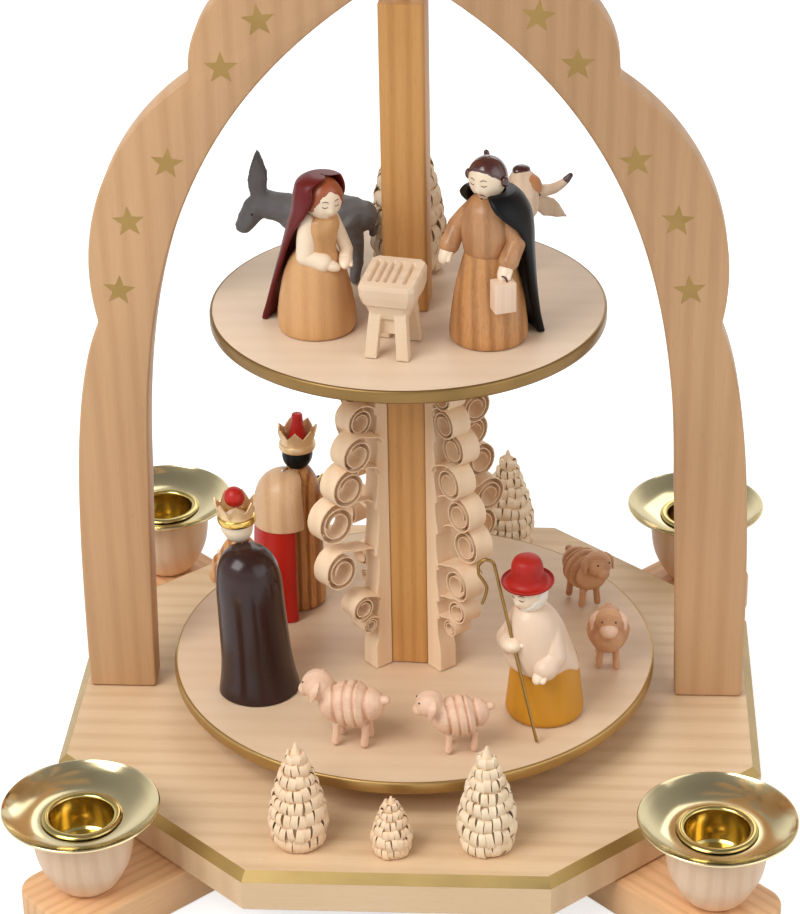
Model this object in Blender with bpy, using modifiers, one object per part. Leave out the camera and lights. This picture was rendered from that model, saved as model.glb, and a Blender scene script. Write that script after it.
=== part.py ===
"""Two-tier candle carousel of turned and carved wood.

A chamfered octagonal plate on two crossed boards carries four candle cups and a pointed arch.
Inside the arch a spindle on a glass bearing turns two discs of carved figures, and the rotor
above the arch drives it with the warm air of the candles.
Metres, +Z up, origin on the resting plane under the spindle, front towards -Y.
"""
import bpy
import bmesh
from math import sin, cos, tan, pi, radians, degrees, sqrt, hypot, atan2
from mathutils import Matrix, Vector

# Fits shared by every piece
SEAT_GAP = 0.0003
CUT_OVERRUN = 0.002
WELD_DISTANCE = 0.000001
UP = Vector((0, 0, 1))

# Crossed foot boards
BOARD_THICKNESS = 0.012
BOARD_WIDTH = 0.029
BOARD_PAST_CUP = 0.0163
BOARD_CORNER_RADIUS = 0.008
CUP_PAST_PLATE = 0.0085

# Octagonal base plate
PLATE_THICKNESS = 0.012
PLATE_WIDTH = 0.2048
PLATE_DEPTH = 0.1968
PLATE_FRONT_EDGE = 0.085
PLATE_SIDE_EDGE = 0.085
PLATE_CHAMFER = 0.0024

# Candle cup, drip tray and socket
CUP_HEIGHT = 0.0218
CUP_RADIUS = 0.0142
CUP_BORE_RADIUS = 0.0097
CUP_BORE_DEPTH = 0.0130
SPIGOT_RADIUS = 0.0030
SPIGOT_LENGTH = 0.0080
TRAY_RADIUS = 0.0220
TRAY_RISE = 0.0046
SHEET_THICKNESS = 0.0006
SOCKET_HOLE_RADIUS = 0.0088
SOCKET_LIP_RADIUS = 0.01135
SOCKET_DEPTH = 0.0115

# Arch
ARCH_SPAN = 0.1972
ARCH_HEIGHT = 0.2490
ARCH_THICKNESS = 0.0100
TENON_WIDTH = 0.0110
TENON_THICKNESS = 0.0060
TENON_DEPTH = 0.0080
BUSH_RADIUS = 0.0032
BUSH_LENGTH = 0.0100
BUSH_FLANGE_RADIUS = 0.0044
BUSH_FLANGE_THICKNESS = 0.0010

# Carousel: spindle, discs and posts
SPINDLE_RADIUS = 0.0018
BEARING_RADIUS = 0.0060
BEARING_HEIGHT = 0.0065
BEARING_PROUD = 0.0015
DISC_LIFT = 0.0093
DISC_THICKNESS = 0.0038
DISC_EDGE_ROUND = 0.0005
LOWER_DISC_RADIUS = 0.0721
UPPER_DISC_RADIUS = 0.0559
TIER_HEIGHT = 0.1142
POST_TURN = radians(-3.5)
LOWER_POST_WIDTH = 0.0190
UPPER_POST_WIDTH = 0.0125
POST_TOP_CLEARANCE = 0.0090

# Fins of shaved curls
FIN_THICKNESS = 0.0061
FIN_REACH = 0.0165
CURL_THICKNESS = 0.0007
CURL_RADIUS = 0.0049
CURL_OVERHANG = 0.0075

# Rotor
ROTOR_CLEARANCE = 0.0200
HUB_RADIUS = 0.0170
HUB_HEIGHT = 0.0140
BLADE_COUNT = 8
BLADE_TIP = 0.1300
BLADE_ROOT = 0.0340
BLADE_TIP_WIDTH = 0.0440
BLADE_ROOT_WIDTH = 0.0180
BLADE_THICKNESS = 0.0016
BLADE_PITCH = radians(42)
STEM_RADIUS = 0.0021
STEM_IN_HUB = 0.0090
STEM_ON_BLADE = 0.0160
FINIAL_RADIUS = 0.0065
FINIAL_HEIGHT = 0.0150

# The cups stand just past the plate's cut corners
CORNER_CUT_X = (PLATE_WIDTH - PLATE_FRONT_EDGE) / 2
CORNER_CUT_Y = (PLATE_DEPTH - PLATE_SIDE_EDGE) / 2
DIAGONAL_REACH = ((PLATE_WIDTH * CORNER_CUT_Y + PLATE_SIDE_EDGE * CORNER_CUT_X)
                  / (CORNER_CUT_X + CORNER_CUT_Y) / sqrt(2))
CUP_CIRCLE_RADIUS = DIAGONAL_REACH + CUP_PAST_PLATE + CUP_RADIUS

# Heights that follow from the sizes above
PLATE_BOTTOM = BOARD_THICKNESS + SEAT_GAP
PLATE_TOP = PLATE_BOTTOM + PLATE_THICKNESS
LOWER_DISC_TOP = PLATE_TOP + DISC_LIFT + DISC_THICKNESS
UPPER_DISC_TOP = LOWER_DISC_TOP + TIER_HEIGHT
ARCH_FOOT = PLATE_TOP + SEAT_GAP
LOWER_FLOOR = LOWER_DISC_TOP + SEAT_GAP
UPPER_FLOOR = UPPER_DISC_TOP + SEAT_GAP

for item in list(bpy.data.objects):
    bpy.data.objects.remove(item, do_unlink=True)

parts = bpy.data.collections.new("candle_carousel")
cutters = bpy.data.collections.new("cutters")
bpy.context.scene.collection.children.link(parts)
bpy.context.scene.collection.children.link(cutters)


def material(name, colour, roughness, metallic=0.0):
    """A Principled material with the given base colour."""
    made = bpy.data.materials.new(name)
    made.use_nodes = True
    shader = made.node_tree.nodes["Principled BSDF"]
    shader.inputs["Base Color"].default_value = (*colour, 1.0)
    shader.inputs["Roughness"].default_value = roughness
    shader.inputs["Metallic"].default_value = metallic
    return made


BEECH = material("beech", (0.62, 0.40, 0.22), 0.55)
PLATE_WOOD = material("plate_wood", (0.55, 0.36, 0.21), 0.50)
CREAM_WOOD = material("cream_wood", (0.78, 0.60, 0.42), 0.60)
POST_WOOD = material("post_wood", (0.52, 0.28, 0.09), 0.45)
SHAVED_WOOD = material("shaved_wood", (0.82, 0.64, 0.48), 0.65)
BRASS = material("brass", (0.83, 0.72, 0.42), 0.18, 1.0)
STEEL = material("steel", (0.60, 0.60, 0.60), 0.30, 1.0)
GLASS = material("glass", (0.85, 0.90, 0.92), 0.05)
ROBE_WOOD = material("robe_wood", (0.50, 0.25, 0.09), 0.45)
DARK_RED = material("dark_red_lacquer", (0.22, 0.01, 0.01), 0.20)
BLACK = material("black_lacquer", (0.02, 0.02, 0.02), 0.25)
BROWN = material("brown_lacquer", (0.06, 0.015, 0.01), 0.20)
RED = material("red_lacquer", (0.55, 0.03, 0.01), 0.30)
OCHRE = material("ochre_lacquer", (0.60, 0.27, 0.02), 0.40)
GREY = material("grey_paint", (0.12, 0.11, 0.11), 0.55)
SHEEP_WOOD = material("sheep_wood", (0.66, 0.42, 0.27), 0.60)
BRONZE = material("bronze_wire", (0.30, 0.20, 0.08), 0.35, 1.0)


def add(name, mesh, finish, cutter=False):
    """Put a mesh in the scene as a part or as a hidden cutter."""
    made = bpy.data.objects.new(name, mesh)
    (cutters if cutter else parts).objects.link(made)
    if finish:
        mesh.materials.append(finish)
    if cutter:
        hide(made)
    return made


def hide(tool):
    """Show a cutter as wire only."""
    tool.hide_render = True
    tool.display_type = "WIRE"


def mesh_of(name, fill):
    """A mesh that the function fill builds in a bmesh."""
    shape = bmesh.new()
    fill(shape)
    mesh = bpy.data.meshes.new(name)
    bmesh.ops.recalc_face_normals(shape, faces=shape.faces)
    shape.to_mesh(mesh)
    shape.free()
    return mesh


def turned(name, finish, outline, steps, cutter=False, ring=False):
    """Turn an outline of (radius, height) points, listed from top to bottom, round +Z."""
    mesh = bpy.data.meshes.new(name)
    points = [(radius, 0, height) for radius, height in outline]
    edges = [(i, i + 1) for i in range(len(points) - 1)]
    if ring:
        edges.append((len(points) - 1, 0))
    mesh.from_pydata(points, edges, [])
    made = add(name, mesh, finish, cutter)
    screw = made.modifiers.new("turn", "SCREW")
    screw.steps = steps
    screw.render_steps = steps
    screw.use_merge_vertices = True
    screw.merge_threshold = WELD_DISTANCE
    screw.use_smooth_shade = True
    return made


def scaled(shares, radius, height, foot=0.0):
    """Outline points from shares of a radius and a height above a foot."""
    return [(across * radius, foot + up * height) for across, up in shares]


def block(name, finish, size, centre, turn=0.0, cutter=False):
    """A box of the given size."""
    place = Matrix.Translation(centre) @ Matrix.Rotation(turn, 4, "Z") @ Matrix.Diagonal((*size, 1))
    fill = lambda shape: bmesh.ops.create_cube(shape, size=1, matrix=place)
    return add(name, mesh_of(name, fill), finish, cutter)


def rod(name, finish, start, end, radius, end_radius=None, sides=8, cutter=False):
    """A round rod or cone from one point to another."""
    start, end = Vector(start), Vector(end)
    along = end - start
    place = Matrix.Translation((start + end) / 2) @ along.to_track_quat("Z", "Y").to_matrix().to_4x4()
    far_radius = radius if end_radius is None else end_radius

    def fill(shape):
        bmesh.ops.create_cone(shape, cap_ends=True, segments=sides, radius1=radius,
                              radius2=far_radius, depth=along.length, matrix=place)
    return add(name, mesh_of(name, fill), finish, cutter)


def ball(name, finish, radii, centre, turn=0.0, tilt=0.0, around=10, rows=7, cutter=False):
    """An ellipsoid, tilted about its own X and then turned about Z."""
    place = (Matrix.Translation(centre) @ Matrix.Rotation(turn, 4, "Z")
             @ Matrix.Rotation(tilt, 4, "X") @ Matrix.Diagonal((*radii, 1)))

    def fill(shape):
        bmesh.ops.create_uvsphere(shape, u_segments=around, v_segments=rows, radius=1, matrix=place)
    return add(name, mesh_of(name, fill), finish, cutter)


def loft(name, finish, rings, cutter=False):
    """A closed solid through rings of equally many points, listed from top to bottom."""
    def fill(shape):
        made = [[shape.verts.new(point) for point in ring] for ring in rings]
        count = len(made[0])
        for upper, lower in zip(made, made[1:]):
            for i in range(count):
                shape.faces.new((upper[i], upper[(i + 1) % count], lower[(i + 1) % count], lower[i]))
        shape.faces.new(made[0])
        shape.faces.new(list(reversed(made[-1])))
    return add(name, mesh_of(name, fill), finish, cutter)


def slab(name, finish, outline, thickness, place, cutter=False):
    """A flat board sawn to a closed outline of (x, y) points, as a welded mesh."""
    curve = bpy.data.curves.new(name, "CURVE")
    curve.dimensions = "2D"
    curve.fill_mode = "BOTH"
    curve.extrude = thickness / 2
    line = curve.splines.new("POLY")
    line.points.add(len(outline) - 1)
    for point, (x, y) in zip(line.points, outline):
        point.co = (x, y, 0, 1)
    line.use_cyclic_u = True
    made = bpy.data.objects.new(name, curve)
    made.matrix_world = place
    return as_mesh(made, name, finish, cutter)


def as_mesh(made, name, finish, cutter=False):
    """Replace a curve object by a welded mesh object in the same place."""
    bpy.context.scene.collection.objects.link(made)
    place = made.matrix_world.copy()
    bpy.context.view_layer.update()
    graph = bpy.context.evaluated_depsgraph_get()
    mesh = bpy.data.meshes.new_from_object(made.evaluated_get(graph))
    shape = bmesh.new()
    shape.from_mesh(mesh)
    bmesh.ops.remove_doubles(shape, verts=shape.verts, dist=WELD_DISTANCE)
    bmesh.ops.recalc_face_normals(shape, faces=shape.faces)
    shape.to_mesh(mesh)
    shape.free()
    bpy.data.objects.remove(made, do_unlink=True)
    mesh.transform(place)
    mesh.materials.clear()
    return add(name, mesh, finish, cutter)


def combine(target, tools, operation):
    """Cut tools from a target, or join them to it, with exact booleans."""
    for tool in tools:
        if tool.name not in cutters.objects:
            parts.objects.unlink(tool)
            cutters.objects.link(tool)
        hide(tool)
        step = target.modifiers.new(tool.name, "BOOLEAN")
        step.operation = operation
        step.solver = "EXACT"
        step.object = tool
    return target


def cut(target, *tools):
    return combine(target, tools, "DIFFERENCE")


def join(target, *tools):
    return combine(target, tools, "UNION")


def polar(radius, angle, height=0.0):
    """A point at a radius and an angle from +X."""
    return Vector((radius * cos(angle), radius * sin(angle), height))


def corner_arc(centre, radius, start, end, steps):
    """Points of an arc from one angle to another, both included."""
    return [(centre[0] + radius * cos(start + (end - start) * i / steps),
             centre[1] + radius * sin(start + (end - start) * i / steps)) for i in range(steps + 1)]


def bezier(a, b, c, d, steps):
    """Points of a cubic curve after its first point."""
    points = []
    for i in range(1, steps + 1):
        t = i / steps
        weights = ((1 - t) ** 3, 3 * t * (1 - t) ** 2, 3 * t * t * (1 - t), t ** 3)
        points.append(tuple(sum(w * p[k] for w, p in zip(weights, (a, b, c, d))) for k in (0, 1)))
    return points


# Crossed foot boards, half lapped under the plate
CUP_ANGLES = [radians(45 + 90 * i) for i in range(4)]
CUP_NAMES = ("back_right", "back_left", "front_left", "front_right")
ARC_STEPS = 3


def foot_board(name, angle, lap_side):
    """One board with round-cornered ends; lap_side is 1 to keep the upper half at the crossing."""
    half = CUP_CIRCLE_RADIUS + BOARD_PAST_CUP
    side = BOARD_WIDTH / 2
    radius = BOARD_CORNER_RADIUS
    outline = []
    for i, (sx, sy) in enumerate(((1, 1), (-1, 1), (-1, -1), (1, -1))):
        centre = (sx * (half - radius), sy * (side - radius))
        outline += corner_arc(centre, radius, i * pi / 2, (i + 1) * pi / 2, ARC_STEPS)
    turn = Matrix.Rotation(angle, 4, "Z")
    board = slab(name, BEECH, outline, BOARD_THICKNESS,
                 Matrix.Translation((0, 0, BOARD_THICKNESS / 2)) @ turn)
    lap_width = BOARD_WIDTH + 2 * SEAT_GAP
    lap_depth = (BOARD_THICKNESS + SEAT_GAP) / 2 + CUT_OVERRUN
    lap_middle = BOARD_THICKNESS / 2 - lap_side * (lap_depth / 2 - SEAT_GAP / 2)
    cut(board, block(name + "_lap", None, (lap_width, BOARD_WIDTH + 2 * CUT_OVERRUN, lap_depth),
                     (0, 0, lap_middle), angle, cutter=True))
    for end in (0, pi):
        hole = polar(CUP_CIRCLE_RADIUS, angle + end, BOARD_THICKNESS + CUT_OVERRUN)
        floor = polar(CUP_CIRCLE_RADIUS, angle + end, BOARD_THICKNESS - SPIGOT_LENGTH - SEAT_GAP)
        cut(board, rod(f"{name}_hole_{degrees(end):.0f}", None, hole, floor,
                       SPIGOT_RADIUS + SEAT_GAP, sides=10, cutter=True))
    return board


foot_board("foot_board_lower", CUP_ANGLES[0], -1)
foot_board("foot_board_upper", CUP_ANGLES[1], 1)


# Octagonal base plate with a chamfered top edge
def plate_fill(shape):
    """An octagonal prism whose top edge is chamfered at 45 degrees."""
    x, y = PLATE_WIDTH / 2, PLATE_DEPTH / 2
    front, side = PLATE_FRONT_EDGE / 2, PLATE_SIDE_EDGE / 2
    outline = [(x, -side), (x, side), (front, y), (-front, y), (-x, side), (-x, -side),
               (-front, -y), (front, -y)]
    under = shape.faces.new([shape.verts.new((px, py, PLATE_BOTTOM)) for px, py in outline])
    grown = bmesh.ops.extrude_face_region(shape, geom=[under])
    risen = [item for item in grown["geom"] if isinstance(item, bmesh.types.BMVert)]
    bmesh.ops.translate(shape, verts=risen, vec=(0, 0, PLATE_THICKNESS - PLATE_CHAMFER))
    bmesh.ops.recalc_face_normals(shape, faces=shape.faces)
    top = max(shape.faces, key=lambda face: face.calc_center_median().z)
    bmesh.ops.inset_region(shape, faces=[top], thickness=PLATE_CHAMFER, depth=PLATE_CHAMFER)


ARCH_LEG_SHARE = 0.204
LEG_MIDDLE = ARCH_SPAN / 2 * (1 - ARCH_LEG_SHARE / 2)

base_plate = add("base_plate", mesh_of("base_plate", plate_fill), PLATE_WOOD)
cut(base_plate, rod("bearing_seat", None, (0, 0, PLATE_TOP + CUT_OVERRUN),
                    (0, 0, PLATE_TOP + BEARING_PROUD - BEARING_HEIGHT - SEAT_GAP),
                    BEARING_RADIUS + SEAT_GAP, sides=16, cutter=True))
for side in (-1, 1):
    mortise = (TENON_WIDTH + 2 * SEAT_GAP, TENON_THICKNESS + 2 * SEAT_GAP, 2 * TENON_DEPTH)
    cut(base_plate, block(f"mortise_{side}", None, mortise, (side * LEG_MIDDLE, 0, PLATE_TOP), cutter=True))

# Glass bearing let into the plate, with a cone for the spindle's point
CONE_SHARE = 0.62
SPINDLE_POINT_HEIGHT = PLATE_TOP + BEARING_PROUD - BEARING_HEIGHT * CONE_SHARE
bearing_top = PLATE_TOP + BEARING_PROUD
bearing_foot = bearing_top - BEARING_HEIGHT
turned("glass_bearing", GLASS, [
    (0, SPINDLE_POINT_HEIGHT), (BEARING_RADIUS * CONE_SHARE, bearing_top),
    (BEARING_RADIUS, bearing_top), (BEARING_RADIUS, bearing_foot), (0, bearing_foot)], 16)

# Turned candle cups with their spigots, spun drip trays and drawn brass sockets
CUP_SHARES = ((1.00, 1.00), (0.99, 0.76), (0.92, 0.47), (0.74, 0.20), (0.47, 0.00))
TRAY_SHARES = ((0.53, 0.0), (0.70, 0.12), (0.87, 0.52), (1.00, 1.00))
CUP_STEPS = 12
cup_foot = BOARD_THICKNESS + SEAT_GAP
cup_top = cup_foot + CUP_HEIGHT
tray_foot = cup_top + SEAT_GAP
tray_hole = SOCKET_HOLE_RADIUS + SHEET_THICKNESS + SEAT_GAP
lip_foot = tray_foot + SHEET_THICKNESS + SEAT_GAP
bore_floor = cup_top - CUP_BORE_DEPTH
socket_floor = lip_foot + SHEET_THICKNESS - SOCKET_DEPTH


def cup_outline():
    """The cup's section: bore, rim, bowl and spigot."""
    bowl = scaled(CUP_SHARES, CUP_RADIUS, CUP_HEIGHT, cup_foot)
    spigot_foot = BOARD_THICKNESS - SPIGOT_LENGTH
    return ([(0, bore_floor), (CUP_BORE_RADIUS, bore_floor), (CUP_BORE_RADIUS, cup_top)] + bowl
            + [(SPIGOT_RADIUS, cup_foot), (SPIGOT_RADIUS, spigot_foot), (0, spigot_foot)])


def tray_outline():
    """A dish of sheet brass with a hole for the socket, as a closed section."""
    upper = scaled(TRAY_SHARES, TRAY_RADIUS, TRAY_RISE, tray_foot + SHEET_THICKNESS)
    lower = [(radius, height - SHEET_THICKNESS) for radius, height in upper]
    return ([(tray_hole, tray_foot + SHEET_THICKNESS)] + upper + lower[::-1]
            + [(tray_hole, tray_foot)])


def socket_outline():
    """A drawn cup with a flat lip that holds the tray down."""
    lip_top = lip_foot + SHEET_THICKNESS
    wall = SOCKET_HOLE_RADIUS + SHEET_THICKNESS
    return [(0, socket_floor + SHEET_THICKNESS), (SOCKET_HOLE_RADIUS, socket_floor + SHEET_THICKNESS),
            (SOCKET_HOLE_RADIUS, lip_top), (SOCKET_LIP_RADIUS, lip_top), (SOCKET_LIP_RADIUS, lip_foot),
            (wall, lip_foot), (wall, socket_floor), (0, socket_floor)]


for name, angle in zip(CUP_NAMES, CUP_ANGLES):
    for piece, outline, finish, ring in (("candle_cup", cup_outline(), BEECH, False),
                                         ("drip_tray", tray_outline(), BRASS, True),
                                         ("candle_socket", socket_outline(), BRASS, False)):
        made = turned(f"{piece}_{name}", finish, outline, CUP_STEPS, ring=ring)
        made.location = polar(CUP_CIRCLE_RADIUS, angle)

# Pointed arch with three lobes on each side, sawn from one board and tenoned into the plate
LEG_OUTER_SHARES = ((1.000, 0.000), (0.996, 0.160), (1.004, 0.394), (0.900, 0.490))
SIDE_LOBE_SHARES = (0.2028, 0.5502, 0.7018)
TOP_LOBE_SHARES = (0.3043, 0.7912, 0.2840)
CROWN_LOBE_SHARES = (0.0, 0.9076, 0.2333)
LEG_INNER_SHARES = ((0.773, 0.281), (0.785, 0.190), (0.790, 0.100), (0.796, 0.000))
INNER_CURVE_SHARES = ((0.0, 0.904), (0.6085, 0.763), (0.7606, 0.5623), (0.773, 0.281))
LOBE_STEPS = 7
APEX_SHARE = INNER_CURVE_SHARES[0][1]
half_span = ARCH_SPAN / 2


def at(shares):
    """A point of the arch from shares of its half span and height."""
    return (shares[0] * half_span, shares[1] * ARCH_HEIGHT)


def circle(shares):
    """Centre and radius of a lobe; the radius is a share of the half span."""
    return at(shares[:2]), shares[2] * half_span


def meeting(first, second):
    """The outer point where two lobe circles cross."""
    (ax, ay), ra = first
    (bx, by), rb = second
    gap = hypot(bx - ax, by - ay)
    along = (ra * ra - rb * rb + gap * gap) / (2 * gap)
    across = sqrt(ra * ra - along * along)
    ux, uy = (bx - ax) / gap, (by - ay) / gap
    options = [(ax + along * ux - s * across * uy, ay + along * uy + s * across * ux) for s in (-1, 1)]
    return max(options)


def lobe(disc, start, end, steps):
    """Points of a lobe from its start towards its end, the start left out."""
    (cx, cy), radius = disc
    a0, a1 = atan2(start[1] - cy, start[0] - cx), atan2(end[1] - cy, end[0] - cx)
    return corner_arc((cx, cy), radius, a0, a1, steps)[1:]


def half_arch():
    """Outline of the right half from the foot's outer corner over the top to its inner corner."""
    side, top, crown = circle(SIDE_LOBE_SHARES), circle(TOP_LOBE_SHARES), circle(CROWN_LOBE_SHARES)
    leg = [at(shares) for shares in LEG_OUTER_SHARES]
    shoulder = (side[0][0] + sqrt(side[1] ** 2 - (leg[3][1] - side[0][1]) ** 2), leg[3][1])
    first_notch, second_notch = meeting(side, top), meeting(top, crown)
    summit = (0.0, crown[0][1] + crown[1])
    outline = [leg[0]] + bezier(leg[0], leg[1], leg[2], shoulder, LOBE_STEPS)
    outline += lobe(side, shoulder, first_notch, LOBE_STEPS)
    outline += lobe(top, first_notch, second_notch, LOBE_STEPS)
    outline += lobe(crown, second_notch, summit, LOBE_STEPS - 2)
    inner = [at(shares) for shares in INNER_CURVE_SHARES]
    foot = [at(shares) for shares in LEG_INNER_SHARES]
    return outline, [inner[0]] + bezier(*inner, 2 * LOBE_STEPS - 2) + bezier(*foot, 3)


outer_line, inner_line = half_arch()
mirrored_outer = [(-x, y) for x, y in outer_line[-2::-1]]
mirrored_inner = [(-x, y) for x, y in inner_line[:0:-1]]
arch_outline = outer_line + mirrored_outer + mirrored_inner + inner_line
arch = slab("arch", BEECH, arch_outline, ARCH_THICKNESS,
            Matrix.Translation((0, 0, ARCH_FOOT)) @ Matrix.Rotation(pi / 2, 4, "X"))
arch_top = ARCH_FOOT + circle(CROWN_LOBE_SHARES)[0][1] + circle(CROWN_LOBE_SHARES)[1]
arch_apex = ARCH_FOOT + APEX_SHARE * ARCH_HEIGHT
bush_seat = arch_top - CUT_OVERRUN
cut(arch,
    rod("spindle_hole", None, (0, 0, arch_top + CUT_OVERRUN), (0, 0, arch_apex - CUT_OVERRUN),
        SPINDLE_RADIUS + CUT_OVERRUN / 2, sides=12, cutter=True),
    rod("bush_hole", None, (0, 0, arch_top + CUT_OVERRUN), (0, 0, bush_seat - BUSH_LENGTH - SEAT_GAP),
        BUSH_RADIUS + SEAT_GAP, sides=16, cutter=True),
    rod("flange_seat", None, (0, 0, arch_top + CUT_OVERRUN), (0, 0, bush_seat),
        ARCH_THICKNESS, sides=16, cutter=True))
for side in (-1, 1):
    tenon_low, tenon_high = PLATE_TOP - TENON_DEPTH + SEAT_GAP, ARCH_FOOT + CUT_OVERRUN
    join(arch, block(f"tenon_{side}", None, (TENON_WIDTH, TENON_THICKNESS, tenon_high - tenon_low),
                     (side * LEG_MIDDLE, 0, (tenon_high + tenon_low) / 2)))

# Brass bush in the arch's top, which guides the spindle
bush_bore = SPINDLE_RADIUS + SEAT_GAP
flange_foot = bush_seat + SEAT_GAP
flange_top = flange_foot + BUSH_FLANGE_THICKNESS
turned("top_bush", BRASS, [
    (bush_bore, flange_top), (BUSH_FLANGE_RADIUS, flange_top), (BUSH_FLANGE_RADIUS, flange_foot),
    (BUSH_RADIUS, flange_foot), (BUSH_RADIUS, bush_seat - BUSH_LENGTH),
    (bush_bore, bush_seat - BUSH_LENGTH)], 12, ring=True)

# Steel spindle with a ground point below; the rotor hub is pushed on its upper end
hub_foot = arch_top + ROTOR_CLEARANCE
hub_top = hub_foot + HUB_HEIGHT
SPINDLE_IN_HUB_SHARE = 0.6
spindle_top = hub_foot + HUB_HEIGHT * SPINDLE_IN_HUB_SHARE
point_height = 2 * SPINDLE_RADIUS
spindle_point = SPINDLE_POINT_HEIGHT + SEAT_GAP
turned("spindle", STEEL, [
    (0, spindle_top), (SPINDLE_RADIUS, spindle_top), (SPINDLE_RADIUS, spindle_point + point_height),
    (0, spindle_point)], 12)


# Discs with a softened gold edge
def disc_outline(radius, top):
    """A flat disc with a softened upper edge and a hole for the spindle."""
    foot, edge, hole = top - DISC_THICKNESS, DISC_EDGE_ROUND, SPINDLE_RADIUS + SEAT_GAP
    return [(hole, top), (radius - edge, top), (radius, top - edge), (radius, foot), (hole, foot)]


DISC_STEPS = 32
turned("lower_disc", CREAM_WOOD, disc_outline(LOWER_DISC_RADIUS, LOWER_DISC_TOP), DISC_STEPS, ring=True)
turned("upper_disc", CREAM_WOOD, disc_outline(UPPER_DISC_RADIUS, UPPER_DISC_TOP), DISC_STEPS, ring=True)

# Lower post with a flat on each corner for a fin, and the plain upper post
post_half = LOWER_POST_WIDTH / 2
flat_start = post_half - FIN_THICKNESS / sqrt(2)
fin_foot = LOWER_FLOOR
fin_top = UPPER_DISC_TOP - DISC_THICKNESS - SEAT_GAP
post_outline = [(flat_start, -post_half), (post_half, -flat_start), (post_half, flat_start),
                (flat_start, post_half), (-flat_start, post_half), (-post_half, flat_start),
                (-post_half, -flat_start), (-flat_start, -post_half)]
lower_post = slab("lower_post", POST_WOOD, post_outline, fin_top - fin_foot,
                  Matrix.Translation((0, 0, (fin_top + fin_foot) / 2)) @ Matrix.Rotation(POST_TURN, 4, "Z"))
upper_post_top = arch_apex - POST_TOP_CLEARANCE
upper_post = block("upper_post", POST_WOOD,
                   (UPPER_POST_WIDTH, UPPER_POST_WIDTH, upper_post_top - UPPER_FLOOR),
                   (0, 0, (upper_post_top + UPPER_FLOOR) / 2), POST_TURN)
for post, low, high in ((lower_post, fin_foot, fin_top), (upper_post, UPPER_FLOOR, upper_post_top)):
    cut(post, rod(post.name + "_bore", None, (0, 0, high + CUT_OVERRUN), (0, 0, low - CUT_OVERRUN),
                  SPINDLE_RADIUS + SEAT_GAP, sides=10, cutter=True))

# Fins of shaved curls: height, overhang and size of each curl from the bottom up
CURL_HEIGHT_SHARES = (0.155, 0.253, 0.380, 0.489, 0.621, 0.761, 0.856, 0.942)
CURL_REACH_SHARES = (0.02, 0.31, 0.68, 1.00, 1.00, 0.72, 0.47, 0.10)
CURL_SIZE_SHARES = (0.40, 0.64, 0.90, 0.98, 1.00, 0.95, 0.76, 0.65)
FIN_SPREAD_SHARES = (0.67, 0.80, 1.00, 0.20)
FIN_TOP_REACH_SHARE = 0.89
CURL_ROOT_SHARE = 0.30
CURL_SHOULDER_SHARES = ((0.12, 0.62), (0.50, 0.97))
CURL_TURNS = 1.22
CURL_TIGHTEN_SHARE = 0.45
CURL_POINTS = 6


def curl_path(root, centre, radius):
    """Middle line of one shaving: it rises from the board, arches out and rolls up."""
    top = centre[1] + radius
    path = [root]
    for out, up in CURL_SHOULDER_SHARES:
        path.append((root[0] + out * (centre[0] - root[0]), root[1] + up * (top - root[1])))
    for i in range(CURL_POINTS + 1):
        done = i / CURL_POINTS
        angle = pi / 2 - done * CURL_TURNS * 2 * pi
        reach = radius * (1 - CURL_TIGHTEN_SHARE * done)
        path.append((centre[0] + reach * cos(angle), centre[1] + reach * sin(angle)))
    return path


def strip_sides(path, thickness):
    """Both sides of a strip along a path: its under side and its upper side."""
    under, upper = [], []
    for i, (x, y) in enumerate(path):
        ax, ay = path[max(i - 1, 0)]
        bx, by = path[min(i + 1, len(path) - 1)]
        length = hypot(bx - ax, by - ay)
        nx, ny = (by - ay) / length, -(bx - ax) / length
        under.append((x + nx * thickness / 2, y + ny * thickness / 2))
        upper.append((x - nx * thickness / 2, y - ny * thickness / 2))
    return under, upper


def fin_outline(spread):
    """Side view of a fin with its curls, from the inner foot round to the inner top."""
    height = fin_top - fin_foot
    inner = (flat_start + post_half) / sqrt(2) + SEAT_GAP
    outline = [(inner, 0), (FIN_REACH, 0)]
    for high, reach, size in zip(CURL_HEIGHT_SHARES, CURL_REACH_SHARES, CURL_SIZE_SHARES):
        radius = CURL_RADIUS * size
        edge = FIN_REACH * (1 - (1 - FIN_TOP_REACH_SHARE) * high)
        out = edge + CURL_THICKNESS + radius + CURL_OVERHANG * reach * spread
        root = (edge, high * height - radius * CURL_ROOT_SHARE)
        under, upper = strip_sides(curl_path(root, (out, high * height), radius), CURL_THICKNESS)
        outline += [(edge, root[1] - CURL_THICKNESS)] + under[1:] + upper[:0:-1]
        outline.append((edge, root[1] + CURL_THICKNESS))
    return outline + [(FIN_REACH * FIN_TOP_REACH_SHARE, height), (inner, height)]


for name, angle, spread in zip(CUP_NAMES, CUP_ANGLES, FIN_SPREAD_SHARES):
    upright = Matrix.Rotation(angle + POST_TURN, 4, "Z") @ Matrix.Rotation(pi / 2, 4, "X")
    slab(f"curl_fin_{name}", SHAVED_WOOD, fin_outline(spread), FIN_THICKNESS,
         Matrix.Translation((0, 0, fin_foot)) @ upright)

# Shaved trees: tiers of curled tips round a core, widest in the lower third
TREE_TIP_SHARE = 0.06
TREE_ROOT_SHARE = 0.74
TREE_WAVE_SHARE = 0.14
TREE_WIDEST_SHARE = 0.72
TREE_FOOT_SHARE = 0.88
TREE_FULLNESS = 0.8
TIER_EDGE_SHARE = 0.40
TREE_SIDES = 10
TREE_TIERS = 5


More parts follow.
